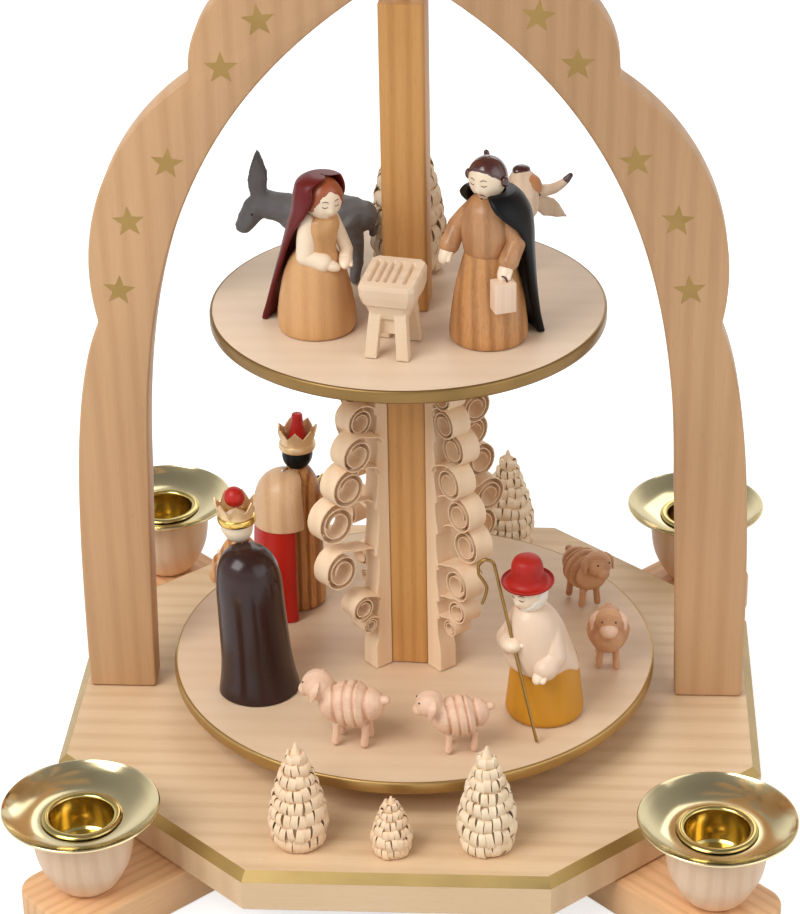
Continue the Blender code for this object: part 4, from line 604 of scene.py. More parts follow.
# Posts
# The lower post is square with a flat on each corner for a fin, the upper one plain. Both are
# stained golden brown and bored for the spindle.
POST_TURN = radians(-3.5)
LOWER_FLOOR, UPPER_FLOOR, FIN_TOP, UPPER_POST_TOP = 0.0377, 0.1519, 0.1475, 0.2407
POST_HALF, POST_FLAT, UPPER_POST_HALF = 0.0095, 0.00519, 0.00625
eight = [(POST_FLAT, -POST_HALF), (POST_HALF, -POST_FLAT), (POST_HALF, POST_FLAT), (POST_FLAT, POST_HALF),
         (-POST_FLAT, POST_HALF), (-POST_HALF, POST_FLAT), (-POST_HALF, -POST_FLAT), (-POST_FLAT, -POST_HALF)]
four = [(UPPER_POST_HALF * x, UPPER_POST_HALF * y) for x, y in ((1, -1), (1, 1), (-1, 1), (-1, -1))]
for post_name, outline, corner, low, high, shift in (
        ("lower_post", eight, 0.0005, LOWER_FLOOR, FIN_TOP, 0.0),
        ("upper_post", four, 0.0012, UPPER_FLOOR, UPPER_POST_TOP, 0.37)):
    post = sawn(post_name, soften(outline, corner, 4, closed=True), high - low, 0.0003)
    post.transform(Matrix.Translation((0, 0, (low + high) / 2)) @ turned(POST_TURN))
    post = notched(post, peg((0, 0, high + 0.002), (0, 0, low - 0.002), DISC_BORE))
    stain = grained(post_name + "_stain", tone(212, 160, 98), tone(176, 118, 60), "Z", 0.0042, 0.46,
                    figure=0.35, shift=shift)
    put(post_name + "_planed", post, stain, "post_wood", post_name)

# Curl fins
# A carver draws a knife up the edge of each board again and again. Every shaving stays on at the
# top of its cut, bends out over it and rolls up, and the cut below it is left as a hollow.
FIN_FOOT, FIN_HEIGHT, FIN_THICKNESS, FIN_INNER, FIN_REACH = 0.0377, 0.1098, 0.0061, 0.01069, 0.0165
SHAVING, CUT_DEPTH, FIN_ARRIS, FIN_TAPER, PLAIN_FOOT = 0.00042, 0.0011, 0.0003, 0.11, 0.0070
HOLLOW = ((0.15, 0.10), (0.35, 0.55), (0.60, 0.90), (0.85, 1.0), (0.97, 0.85), (1.0, 0.1))

# A row for each shaving: share of the board's height, stand-off of the roll from the edge, its radius
LEFT_CURLS = ((0.150, 0.0027, 0.0024), (0.212, 0.0055, 0.0036), (0.338, 0.0118, 0.0056),
              (0.478, 0.0125, 0.0060), (0.590, 0.0106, 0.0055), (0.686, 0.0084, 0.0050),
              (0.760, 0.0050, 0.0042), (0.838, 0.0042, 0.0040), (0.915, 0.0034, 0.0036))
RIGHT_CURLS = ((0.160, 0.0050, 0.0026), (0.212, 0.0070, 0.0036), (0.306, 0.0088, 0.0050),
               (0.415, 0.0094, 0.0051), (0.509, 0.0086, 0.0050), (0.602, 0.0067, 0.0048),
               (0.688, 0.0056, 0.0047), (0.764, 0.0046, 0.0043), (0.845, 0.0042, 0.0042),
               (0.922, 0.0034, 0.0037))


def edge_of_fin(share):
    """How far out the uncut edge of the board is at a share of its height."""
    return FIN_REACH * (1 - FIN_TAPER * share)


def shaving(path, width, thickness, place, taper=0.0):
    """Rings of a thin strip that follows a path in the plane (out, up)."""
    rings = []
    for i, here in enumerate(path):
        along = (path[min(i + 1, len(path) - 1)] - path[max(i - 1, 0)]).normalized()
        done = i / (len(path) - 1)
        across = Vector((-along.y, along.x)) * thickness / 2 * (1 - 0.55 * done)
        half = width / 2 * (1 - taper * done)
        corners = []
        for side, lift in ((-1, -1), (1, -1), (1, 1), (-1, 1)):
            flat = here + across * lift
            corners.append(place @ Vector((flat.x, side * half, flat.y)))
        rings.append(corners)
    return rings


def curl_track(root, centre, radius, turns, steps=54):
    """Up from the board, out over the top of the roll, then round and round inside it."""
    def on_roll(gone):
        """A place on the roll after so many turns."""
        angle = radians(122) - gone * 2 * pi
        reach = radius * (1.0 + 0.20 * max(0.0, 1 - gone / 0.40) ** 1.3 - 0.27 * max(0.0, gone - 0.40))
        return centre + Vector((reach * cos(angle), reach * sin(angle)))

    joins = on_roll(0)
    gap = (joins - root).length
    toward = (on_roll(0.01) - joins).normalized()
    rise_to = bent(root, root + Vector((0.05, 0.40)) * gap, joins - toward * 0.45 * gap, joins, 12)
    return [root] + rise_to + [on_roll(turns * i / steps) for i in range(1, steps + 1)]


shaved_pale = grained("shaved_wood", tone(242, 214, 180), tone(222, 184, 146), "Z", 0.0050, 0.55, figure=0.2)
for corner, angle, rows in zip(CORNERS, CUP_ANGLES, (RIGHT_CURLS, LEFT_CURLS, LEFT_CURLS, RIGHT_CURLS)):
    chance = Random(corner)
    place = Matrix.Translation((0, 0, FIN_FOOT)) @ turned(angle + POST_TURN)
    edge, shells = [(FIN_REACH, 0.0), (FIN_REACH, PLAIN_FOOT)], []
    for high, stand_off, radius in rows:
        out = edge_of_fin(high)
        centre = Vector((out + stand_off, high * FIN_HEIGHT))
        root = Vector((out - 0.0010, centre.y + 0.20 * radius))
        below = edge[-1][1]
        edge += [(out - depth * CUT_DEPTH, below + (root.y - below) * share) for share, depth in HOLLOW]
        track = curl_track(root, centre, radius, chance.uniform(2.1, 2.5))
        roll = Matrix.Translation((0, chance.uniform(-0.0003, 0.0003), 0))
        roll = roll @ turned(chance.uniform(-0.035, 0.035)) @ turned(chance.uniform(-0.05, 0.05), "X")
        shells.append(shaving(track, FIN_THICKNESS * chance.uniform(0.97, 1.03), SHAVING, place @ roll))
    edge += [(edge_of_fin(1), FIN_HEIGHT - 0.0012), (edge_of_fin(1), FIN_HEIGHT)]
    half = FIN_THICKNESS / 2
    board = skin("fin", [[place @ Vector((x, y, up)) for x, y in (
        (FIN_INNER, -half), (out - FIN_ARRIS, -half), (out, FIN_ARRIS - half), (out, half - FIN_ARRIS),
        (out - FIN_ARRIS, half), (FIN_INNER, half))] for out, up in edge])
    put(f"curl_fin_{corner}_board", board, shaved_pale, "shaved_wood", f"curl_fin_{corner}")
    put(f"curl_fin_{corner}_curls", skin("curls", *shells), shaved_pale, "shaved_wood",
        f"curl_fin_{corner}", crease=50)

# Shaved trees
# A turned peg is shaved tier by tier. The shavings of a tier stand round it like a ruff, each
# bent outwards with its tip rolled up, and the tree ends in a fine point.
TREES = (("tree_front_left", "stand", -0.0279, -0.0817, ARCH_FOOT, 0.0325, 0.0086, 8, 1),
         ("tree_front_middle", "stand", -0.0017, -0.0856, ARCH_FOOT, 0.0180, 0.0060, 6, 2),
         ("tree_front_right", "stand", 0.0245, -0.0817, ARCH_FOOT, 0.0325, 0.0086, 8, 3),
         ("tree_back_right", "stand", 0.0262, 0.0856, ARCH_FOOT, 0.0345, 0.0090, 9, 4),
         ("tree_upper_tier", "carousel", -0.0012, 0.0246, UPPER_FLOOR, 0.0520, 0.0112, 11, 5))


def ruffled(place, height, radius, tiers, seed):
    """Core and curled tiers of a shaved tree."""
    chance = Random(seed)

    def reach_at(up):
        """How far out the tree reaches at a share of its height."""
        return radius * (1.0 - 1.30 * max(0.0, up - 0.18) ** 1.45 - 0.10 * max(0.0, 0.12 - up) / 0.12)

    core = [(0, height)] + [(0.84 * reach_at(1 - k / 12) if k else radius * 0.04, height * (1 - k / 12))
                            for k in range(13)] + [(0, 0)]
    shells = [[[place + Vector(point) for point in ring] for ring in turning(core, 32)]]
    tip = radius / 5.6
    for tier in range(tiers):
        share = (tier + 0.15) / (tiers + 0.2)
        up = share * (1.12 - 0.22 * share)
        pitch = height / tiers * (1.12 - 0.44 * share)
        reach = reach_at(up)
        around = max(6, round(2 * pi * reach / (radius * 0.29)))
        start = chance.uniform(0, 1)
        for k in range(around):
            angle = 2 * pi * (k + start + chance.uniform(-0.12, 0.12)) / around
            size = tip * (0.42 + 0.58 * reach / radius) * chance.uniform(0.84, 1.22)
            foot = Vector((reach * 0.74, height * up + size * 0.2))
            centre = Vector((reach - size * chance.uniform(0.95, 1.1),
                             height * up + pitch * chance.uniform(0.32, 0.66)))
            tall = 0.64 * pitch * chance.uniform(0.86, 1.10)
            low = Vector((centre.x + size * 0.1, centre.y - tall))
            track = [foot] + bent(foot, foot + (low - foot) * 0.4 - Vector((0, size * 0.25)),
                                  low - Vector((size * 0.5, 0)), low, 4)
            for i in range(1, 13):
                turn = -pi / 2 + i / 12 * chance.uniform(0.98, 1.02) * 1.55 * pi
                curl = 1 - 0.35 * i / 12
                track.append(centre + Vector((size * curl * cos(turn), tall * curl * sin(turn))))
            track = [Vector((p.x, max(p.y, 0.0001))) for p in track]
            middle = Vector((0, 0, centre.y))
            lean = turned(chance.uniform(-0.22, 0.22), "X") @ Matrix.Translation(-middle)
            here = Matrix.Translation(place + middle) @ turned(angle) @ lean
            width = 2 * pi * reach / around * chance.uniform(1.00, 1.16)
            ribbon = shaving(track, width, 0.00026, here, chance.uniform(0.25, 0.55))
            shells.append([[Vector((p.x, p.y, max(p.z, place.z))) for p in ring] for ring in ribbon])
    return skin("tree", *shells)


for tree_name, body, x, y, floor_height, height, radius, tiers, seed in TREES:
    warm = seed in (1, 2)
    finish = shaved_pale if warm else grained(f"{tree_name}_wood", tone(246, 226, 196), tone(220, 188, 148),
                                              "Z", 0.0040, 0.55, figure=0.25, shift=0.1 * seed)
    put(f"{tree_name}_shaved", ruffled(Vector((x, y, floor_height)), height, radius, tiers, seed), finish,
        "shaved_wood", tree_name, body=body, crease=55)


# Kneeling woman
# A turned body of natural wood with glued-on arms and a turned head. Hair and face are painted,
# and a thin carved cloak with a hood, lacquered dark red, is glued to the back.
def standing(x, y, floor_height, turn):
    """The place of a figure that faces its own -Y."""
    return Matrix.Translation((x, y, floor_height)) @ turned(turn)


def limb(points, radii, around=20, steps=5, flat=1.0, broad=None):
    """Rings of a round limb along a smooth path, rounded at both ends."""
    path = eased(points, steps)
    sizes = []
    for a, b in zip(radii, radii[1:]):
        sizes += [a + (b - a) * i / steps for i in range(steps)]
    sizes.append(radii[-1])
    start, end = (path[1] - path[0]).normalized(), (path[-1] - path[-2]).normalized()
    bows = (1.50, 1.25, 0.95, 0.6, 0.3)
    stations = [(path[0] - start * sizes[0] * sin(bow), sizes[0] * cos(bow), start) for bow in bows]
    for i, here in enumerate(path):
        along = path[min(i + 1, len(path) - 1)] - path[max(i - 1, 0)]
        stations.append((here, sizes[i], along.normalized()))
    stations += [(path[-1] + end * sizes[-1] * sin(bow), sizes[-1] * cos(bow), end) for bow in bows[::-1]]
    side = start.orthogonal().normalized()
    if abs(start.z) < 0.95:
        side = start.cross(Vector((0, 0, 1))).normalized()
    side = broad or side
    rings = []
    for centre, size, along in stations:
        side = (side - along * side.dot(along)).normalized()
        up = along.cross(side)
        rings.append([centre + (side * cos(a) + up * flat * sin(a)) * size for a in round_of(around)])
    return rings


def egg(radii, centre, turn=None, rows=14, around=24):
    """Rings of an egg shape."""
    place = Matrix.Translation(centre) @ (turn or Matrix.Identity(4))
    rings = []
    for row in range(rows + 1):
        angle = pi * row / rows
        rings.append([place @ Vector((radii[0] * sin(angle) * cos(a), radii[1] * sin(angle) * sin(a),
                                      radii[2] * cos(angle))) for a in round_of(around)])
    return rings


def ramp(value, low, high):
    """From 0 to 1 between two values, with soft ends."""
    share = min(1.0, max(0.0, (value - low) / (high - low)))
    return share * share * (3 - 2 * share)


# Places on a head are angles in degrees: to the side of the nose, and above its middle
FACE_FORMS = ((0, -9, 6.5, 0.085), (0, -16, 5.5, 0.075), (0, 4, 5, 0.035), (0, -31, 7, 0.035),
              (0, -49, 13, 0.045))
PAIRED_FORMS = ((21, 4, 8.5, -0.045), (21, 15, 8, 0.018), (31, -17, 14, 0.020), (88, -2, 8, 0.085),
                (9, -15, 5, 0.015))
HEAD_SHAPE = (0.93, 0.97, 1.05)


def out_of_head(azimuth, elevation):
    """The way out of a head of unit size, at a place on it."""
    a, e = radians(azimuth), radians(elevation)
    return Vector((HEAD_SHAPE[0] * cos(e) * sin(a), -HEAD_SHAPE[1] * cos(e) * cos(a), HEAD_SHAPE[2] * sin(e)))


def on_head(radius, azimuth, elevation, lift=0.0):
    """A point of a head's surface, raised by a lift."""
    factor = 1.0
    for side, height, width, rise_by in FACE_FORMS + PAIRED_FORMS + tuple(
            (-s, h, w, r) for s, h, w, r in PAIRED_FORMS):
        across = (azimuth - side) * cos(radians(elevation))
        factor += rise_by * exp(-(across ** 2 + (elevation - height) ** 2) / (2 * width ** 2))
    return out_of_head(azimuth, elevation) * (radius * factor + lift)


def head_rings(radius, place, grow=None, rows=44, around=64):
    """Rings of a head, or of the hair that grow describes."""
    rings = []
    for row in range(rows + 1):
        elevation = 90 - 180 * row / rows
        ring = []
        for k in range(around):
            azimuth = (360 * k / around + 180) % 360 - 180
            if grow:
                point = out_of_head(azimuth, elevation) * radius * grow(azimuth, elevation)
            else:
                point = on_head(radius, azimuth, elevation)
            ring.append(place @ point)
        rings.append(ring)
    return rings


def brushed(radius, place, tracks, width):
    """Fine painted lines on a head, each a run of (azimuth, elevation) places."""
    shells = []
    for track in tracks:
        points = [place @ on_head(radius, azimuth, elevation, width * 0.1) for azimuth, elevation in track]
        shells.append(limb(points, [width * 0.55] + [width] * (len(points) - 2) + [width * 0.55], 8, 3))
    return shells


LOWERED_LIDS = [[(side * a, 4 - d) for a, d in ((12, 0.5), (16, 3.2), (21, 4.4), (26, 3.4), (30, 0.8))]
                for side in (-1, 1)]
BROWS = [[(side * a, 15 + d) for a, d in ((10, 0), (16, 2.6), (23, 3.2), (31, 0.5))] for side in (-1, 1)]
QUIET_MOUTH = [[(-9, -30), (-4, -31.2), (0, -31.6), (4, -31.2), (9, -30)]]


def hairline(stops, azimuth):
    """The height of the hair's edge at an angle from the nose."""
    away = abs(azimuth)
    for (a, low), (b, high) in zip(stops, stops[1:]):
        if away <= b:
            return low + (high - low) * ramp(away, a, b)
    return stops[-1][1]


def cape(name, rows, radius, height, wall, shift, place, columns=36):
    """A carved cloak behind a figure: rows of (height, radius, half angle), with thin rounded edges."""
    rings = []
    for up, reach, half_angle, *back in eased(rows, 6):
        outside, inside = [], []
        middle = shift + (back[0] if back else 0)
        for k in range(columns + 1):
            u = 2 * k / columns - 1
            angle = pi / 2 + u * half_angle
            thick = wall * sqrt(max(0.0, 1 - abs(u) ** 12))
            inner = radius * reach + (wall - thick) / 2
            for side, out in ((outside, inner + thick), (inside, inner)):
                side.append(place @ Vector((out * cos(angle), out * sin(angle) + middle, height * up)))
        rings.append(outside + inside[::-1])
    return skin(name, rings)


def painted(name, colour, roughness=0.35, coat=0.3, uneven=0.10, brush=900, metallic=0.0, specular=0.5):
    """Brushed paint or lacquer over wood: a little uneven in tone, with fine strokes in its surface."""
    finish, tree, shader = new_finish(name)
    drawn = add(tree, "Mapping", {"Vector": add(tree, "TexCoord").outputs["Object"],
                                  "Scale": (1, 1, 0.16)}).outputs[0]
    strokes = add(tree, "TexNoise", {"Vector": drawn, "Scale": brush, "Detail": 3}).outputs["Fac"]
    clouds = add(tree, "TexNoise", {"Vector": drawn, "Scale": 140}).outputs["Fac"]
    relief = add(tree, "Bump", {"Strength": 0.22, "Distance": 0.00006, "Height": strokes})
    tint = two_tones(tree, clouds, toned(colour, 1 - uneven * 2), toned(colour, 1 + uneven * 2, 0.004))
    fill(tree, shader, {"Roughness": roughness, "Coat Weight": coat, "Coat Roughness": 0.12,
                        "Metallic": metallic, "Specular IOR Level": specular, "Base Color": tint,
                        "Normal": relief.outputs[0]})
    return finish


def arm(name, place, height, shoulder, elbow, hand, sleeve, wrist, cloth, skin_tone, cloth_slot, side):
    """A bent sleeve with a cuff, and a rounded hand in it."""
    shoulder, elbow, hand = [Vector(p) * height for p in (shoulder, elbow, hand)]
    cuff = elbow.lerp(hand, 0.66)
    upper = limb([shoulder, shoulder.lerp(elbow, 0.5), elbow], [sleeve * 0.9, sleeve, sleeve * 0.98])
    lower = limb([elbow, elbow.lerp(cuff, 0.5), cuff], [sleeve * 0.98, sleeve * 0.95, sleeve * 1.0])
    mesh = skin(name, upper, lower)
    put(f"{name}_sleeve_{side}", mesh, cloth, cloth_slot, at=place)
    along = (hand - elbow).normalized()
    facing = along.to_track_quat("Z", "Y").to_matrix().to_4x4()
    heart = hand - along * wrist * 0.3
    palm = skin(name, egg((wrist * 1.02, wrist * 0.88, wrist * 1.75), heart, facing, 12, 20),
                limb([hand - along * wrist * 0.4 + facing @ Vector((wrist * 0.7, 0, 0)),
                      hand + along * wrist * 0.7 + facing @ Vector((wrist * 0.9, 0, 0))],
                     [wrist * 0.42, wrist * 0.34], 10, 3))
    put(f"{name}_hand_{side}", palm, skin_tone, "cream_wood", at=place)


def face(name, radius, head, finish, slot, lids, mouth, neck=None, line=None, line_slot="black_lacquer"):
    """A head with painted lids, brows and mouth, on a neck where one shows."""
    put(f"{name}_head", skin("head", head_rings(radius, head)), finish, slot, name, crease=80)
    if neck:
        put(f"{name}_neck", skin("neck", limb(*neck)), finish, slot)
    eyes = skin("eyes", *brushed(radius, head, LOWERED_LIDS + BROWS, lids))
    put(f"{name}_eyes", eyes, line or eye_line, line_slot)
    put(f"{name}_mouth", skin("mouth", *brushed(radius, head, QUIET_MOUTH, mouth)), lip_line, "red_lacquer")


face_cream = painted("face_cream", tone(240, 218, 190), 0.42, 0.1, 0.03)
eye_line = painted("eye_line", tone(74, 50, 40), 0.4, 0.1, 0.05)
lip_line = painted("lip_line", tone(186, 92, 70), 0.4, 0.1, 0.05)
robe_pear = grained("robe_pear", tone(212, 164, 112), tone(180, 128, 80), "Z", 0.0060, 0.36, coat=0.15,
                    figure=0.3)
WOMAN_HEIGHT, WOMAN_SKIRT, WOMAN_HEAD = 0.0448, 0.0109, 0.00560
woman_place = standing(-0.0243, -0.0158, UPPER_FLOOR, radians(52))


def turned_body(shares, radius, height):
    """Rings of a turned body from shares, rounded at the hem."""
    line = eased([(across * radius, up * height) for across, up in shares], 6)
    return turning([Vector((0, shares[0][1] * height))] + line
                   + [Vector((radius * 0.955, 0)), Vector((0, 0))], 72)


woman_body = skin("woman", turned_body(((0.16, 0.80), (0.24, 0.775), (0.43, 0.740), (0.49, 0.68),
                                        (0.47, 0.60), (0.50, 0.525), (0.66, 0.45), (0.82, 0.34), (0.94, 0.20),
                                        (1.00, 0.07), (0.985, 0.012)), WOMAN_SKIRT, WOMAN_HEIGHT))
WOMAN_BOW = 0.0028
for vertex in woman_body.vertices:
    vertex.co.y -= WOMAN_BOW * ramp(vertex.co.z, 0.40 * WOMAN_HEIGHT, 0.80 * WOMAN_HEIGHT)
put("woman_figure_body", woman_body, robe_pear, "robe_wood", "woman_figure", at=woman_place)
woman_head = woman_place @ Matrix.Translation((0, -0.0008 - WOMAN_BOW, 0.868 * WOMAN_HEIGHT))
woman_head = woman_head @ turned(radians(-20)) @ turned(radians(11), "X")
face("woman_figure", WOMAN_HEAD, woman_head, face_cream, "cream_wood", 0.00011, 0.00013,
     ([woman_place @ Vector((0, -WOMAN_BOW, height)) for height in (0.0325, 0.0360)], [0.0021, 0.0021]))
WOMAN_HAIRLINE = ((0, 44), (28, 30), (46, 4), (60, -24), (180, -40))
put("woman_figure_hair", skin("woman_hair", head_rings(
    WOMAN_HEAD, woman_head,
    lambda a, e: 0.93 + 0.125 * ramp(e - hairline(WOMAN_HAIRLINE, a), -4, 5) + 0.006 * sin(radians(a) * 26))),
    painted("woman_hair_brown", tone(156, 76, 38), 0.4, 0.2, 0.18, 1500), "brown_lacquer", crease=80)
for side, sleeve, points in (
        ("left", 0.0027, ((-0.088, -0.03, 0.725), (-0.115, -0.03, 0.51), (-0.030, -0.165, 0.455))),
        ("right", 0.0019, ((0.090, -0.075, 0.710), (0.138, -0.135, 0.50), (0.050, -0.205, 0.465)))):
    arm("woman_figure", woman_place, WOMAN_HEIGHT, *points, sleeve, 0.0018, face_cream, face_cream,
        "cream_wood", side)
dark_red = painted("dark_red_lacquer", tone(100, 14, 14), 0.40, 0.05, 0.12, specular=0.25)
WOMAN_CLOAK = ((0.00, 1.34, 0.44, 0.0), (0.04, 1.30, 0.45, 0.0), (0.12, 1.18, 0.50, 0.0),
               (0.25, 1.01, 0.62, 0.0), (0.42, 0.80, 0.86, 0.0), (0.58, 0.66, 1.12, -0.0006),
               (0.70, 0.60, 1.40, -0.0016), (0.79, 0.565, 1.70, -0.0026), (0.87, 0.565, 1.86, -0.0033),
               (0.93, 0.525, 1.92, -0.0034), (0.975, 0.460, 1.90, -0.0034), (1.003, 0.320, 2.20, -0.0034),
               (1.016, 0.160, 2.70, -0.0034), (1.019, 0.020, 3.00, -0.0034))
put("woman_cloak_fall",
    cape("woman_cloak", WOMAN_CLOAK, WOMAN_SKIRT, WOMAN_HEIGHT, 0.0019, 0.0, woman_place, 60),
    dark_red, "dark_red_lacquer", "woman_cloak", crease=60)

# Standing man
# Turned in two tones of wood with a girdle line, one hand forward and a square lantern hanging
# from the other. The cloak is a thin carved shell in black lacquer.
MAN_HEIGHT, MAN_SKIRT, MAN_HEAD = 0.0526, 0.0108, 0.00545
man_place = standing(0.0233, -0.0212, UPPER_FLOOR, radians(-30))
man_skirt = skin("man_skirt", turned_body(((0.40, 0.50), (0.58, 0.495), (0.62, 0.47), (0.72, 0.39),
                                           (0.84, 0.29), (0.93, 0.18), (1.00, 0.05), (0.985, 0.010)),
                                           MAN_SKIRT, MAN_HEIGHT))
man_tunic = skin("man_tunic", turning([Vector((0, 0.80 * MAN_HEIGHT))] + eased(
    [(share * MAN_SKIRT, up * MAN_HEIGHT) for share, up in
     ((0.20, 0.80), (0.34, 0.785), (0.54, 0.745), (0.66, 0.68), (0.69, 0.60), (0.66, 0.53), (0.61, 0.485),
      (0.50, 0.470))], 6) + [Vector((0, 0.470 * MAN_HEIGHT))], 72))
for part_name, mesh, finish in (
        ("skirt", man_skirt, grained("man_skirt_wood", tone(206, 152, 98), tone(158, 106, 60), "Z", 0.0042,
                                     0.36, coat=0.2, figure=0.6, shift=0.5)),
        ("tunic", man_tunic, grained("man_tunic_wood", tone(196, 146, 102), tone(160, 110, 70), "Z", 0.0046,
                                     0.36, coat=0.2, figure=0.5, shift=0.9))):
    put(f"man_figure_{part_name}", mesh, finish, "robe_wood", "man_figure", at=man_place)
man_head = man_place @ Matrix.Translation((0, -0.0004, 0.884 * MAN_HEIGHT)) @ turned(radians(8), "X")
face("man_figure", MAN_HEAD, man_head, face_cream, "cream_wood", 0.00012, 0.00012,
     ([man_place @ Vector((0, 0, height)) for height in (0.0405, 0.0440)], [0.0023, 0.0023]))
MOUSTACHE = [[(side * a, e) for a, e in ((2, -24), (8, -25.5), (15, -28), (20, -33))] for side in (-1, 1)]
dark_hair = painted("dark_hair", tone(70, 26, 22), 0.25, 0.6, 0.15, 1500)
put("man_figure_moustache", skin("man_moustache", *brushed(MAN_HEAD, man_head, MOUSTACHE, 0.00019)),
    dark_hair, "brown_lacquer")
beard = [man_head @ on_head(MAN_HEAD, 0, *spot) for spot in ((-44,), (-54, 0.0001), (-63,))]
put("man_figure_beard", skin("man_beard", limb(beard, [0.0002, 0.00042, 0.0002], 10, 3)), dark_hair,
    "brown_lacquer")
MAN_HAIRLINE = ((0, 40), (30, 36), (56, 22), (78, 6), (100, -14), (140, -34), (180, -38))
put("man_figure_hair", skin("man_hair", head_rings(
    MAN_HEAD, man_head,
    lambda a, e: 0.93 + 0.14 * ramp(e - hairline(MAN_HAIRLINE, a), -4, 5) + 0.006 * sin(radians(a) * 30)),
    *[egg((0.0011, 0.0013, 0.0015), man_head @ (Vector((side * 0.0056, -0.0004, 0.0002))), None, 10, 16)
      for side in (-1, 1)]), dark_hair, "brown_lacquer", crease=80)
man_arms = (((-0.085, 0, 0.705), (-0.165, -0.035, 0.595), (-0.182, -0.125, 0.465)),
            ((0.085, 0, 0.705), (0.168, 0.000, 0.570), (0.166, -0.115, 0.440)))
for side, points in zip(("left", "right"), man_arms):
    arm("man_figure", man_place, MAN_HEIGHT, *points, 0.0028, 0.0020, bpy.data.materials["man_tunic_wood"],
        face_cream, "robe_wood", side)
lantern_at = Vector((0.180, -0.150, 0.328)) * MAN_HEIGHT
lantern = sawn("lantern", soften(corners(0.0030, 0.0025), 0.0005, 3, closed=True), 0.0084, 0.0002)
lantern_wood = grained("lantern_wood", tone(240, 212, 186), tone(222, 188, 158), "Z", 0.0030, 0.5, figure=0.2)
ring_wire = limb([lantern_at + Vector((0.0012 * cos(a), 0, 0.0041 + 0.0014 * sin(a)))
                  for a in [pi * k / 8 for k in range(9)]], [0.00028] * 9, 10, 2)
hung = man_place @ Matrix.Translation(lantern_at) @ turned(radians(50))
put("man_figure_lantern", lantern, lantern_wood, "cream_wood", at=hung)
handle = skin("lantern_ring", ring_wire)
put("man_figure_lantern_ring", handle, dark_hair, "brown_lacquer", at=man_place)
black_lacquer = painted("black_lacquer", tone(8, 8, 10), 0.40, 0.02, 0.1, specular=0.16)
MAN_CLOAK = ((0.00, 1.24, 0.46), (0.05, 1.18, 0.50), (0.14, 1.09, 0.60), (0.30, 1.00, 0.82),
             (0.50, 0.94, 1.06), (0.62, 0.92, 1.28), (0.70, 0.86, 1.66), (0.76, 0.73, 1.98),
             (0.80, 0.58, 2.12), (0.82, 0.44, 2.20))
put("man_cloak_carved", cape("man_cloak", MAN_CLOAK, MAN_SKIRT, MAN_HEIGHT, 0.0024, 0.0,
                             man_place @ turned(radians(-25)), 60),
    black_lacquer, "black_lacquer", "man_cloak", crease=60)


# Crib
# One block of pale wood is cut to a trough that widens upwards. Slanting cuts make the straw,
# and four flat legs are let in under it, splayed to the sides.
def carved(name, shells, grain, polish=5, dent=None):
    """Full forms run together and smoothed with the knife; dent gives how deep each place is cut."""
    stock = bpy.data.objects.new("stock", skin(name, *shells))
    bpy.context.scene.collection.objects.link(stock)
    fuse = stock.modifiers.new("fuse", "REMESH")
    fuse.mode = "VOXEL"
    fuse.voxel_size = grain
    soft_edges = stock.modifiers.new("polish", "SMOOTH")
    soft_edges.factor = 0.5
    soft_edges.iterations = polish
    mesh = shaped(stock)
    if dent:
        moves = [vertex.co - vertex.normal * dent(vertex.co) for vertex in mesh.vertices]
        for vertex, place in zip(mesh.vertices, moves):
            vertex.co = place
    return mesh


crib_place = standing(-0.0022, -0.0293, UPPER_FLOOR, radians(-12))
CRIB_LEVELS = ((0.0108, 0.0052, 0.0056), (0.0148, 0.0064, 0.0068), (0.0152, 0.0070, 0.0074),
               (0.0176, 0.0077, 0.0079), (0.0210, 0.0079, 0.0081), (0.0222, 0.0074, 0.0078))
CRIB_CORNER, CRIB_TOP, CRIB_SLOPE = 0.0014, 0.0222, 0.13
CUTS_IN_TOP = (-0.0050, -0.0029, -0.0008, 0.0016, 0.0046)
block = []
for level, wide, deep in CRIB_LEVELS:
    outline = []
    for sx, sy in ((1, 1), (-1, 1), (-1, -1), (1, -1)):
        corner = [(sx * wide, sy * (deep - CRIB_CORNER)), (sx * (wide - CRIB_CORNER), sy * deep)]
        outline += corner if sx * sy > 0 else corner[::-1]
    block.append([(x, y, level + (CRIB_SLOPE * y if level > 0.0200 else 0)) for x, y in outline])
crib_forms = [block]
LEG_SECTION, LEG_ENDS = (0.0017, 0.0014), ((0.0045, 0.0066, 0.0), (0.0034, 0.0045, 0.0135))
RAIL_SECTION, RAIL_OUT, RAIL_ENDS = (0.0030, 0.0008), 0.0038, (0.0062, 0.0125)
for sx in (-1, 1):
    for sy in (-1, 1):
        crib_forms.append([[(sx * (middle + across), sy * (out + depth), level)
                            for across, depth in corners(*LEG_SECTION)] for middle, out, level in LEG_ENDS])
for sy in (-1, 1):
    crib_forms.append([[(x, sy * RAIL_OUT + y, level) for x, y in corners(*RAIL_SECTION)]
                       for level in RAIL_ENDS])


def straw_cuts(place):
    """Five short grooves in the sloping top of the crib."""
    top = CRIB_TOP + CRIB_SLOPE * place.y
    if place.z < top - 0.0016:
        return 0.0
    deepest = max(exp(-((place.x - x) / 0.00042) ** 2) for x in CUTS_IN_TOP)
    ends = ramp(0.0058 - abs(place.y - 0.0004), 0.0, 0.0012)
    return 0.0011 * deepest * ends * ramp(place.z, top - 0.0016, top - 0.0006)


crib_mesh = carved("crib", crib_forms, 0.00020, 3, straw_cuts)
crib_wood = grained("crib_wood", tone(230, 205, 176), tone(208, 176, 144), "X", 0.0050, 0.55, figure=0.2)
put("crib_carved", crib_mesh, crib_wood, "shaved_wood", "crib", crease=60, at=crib_place)

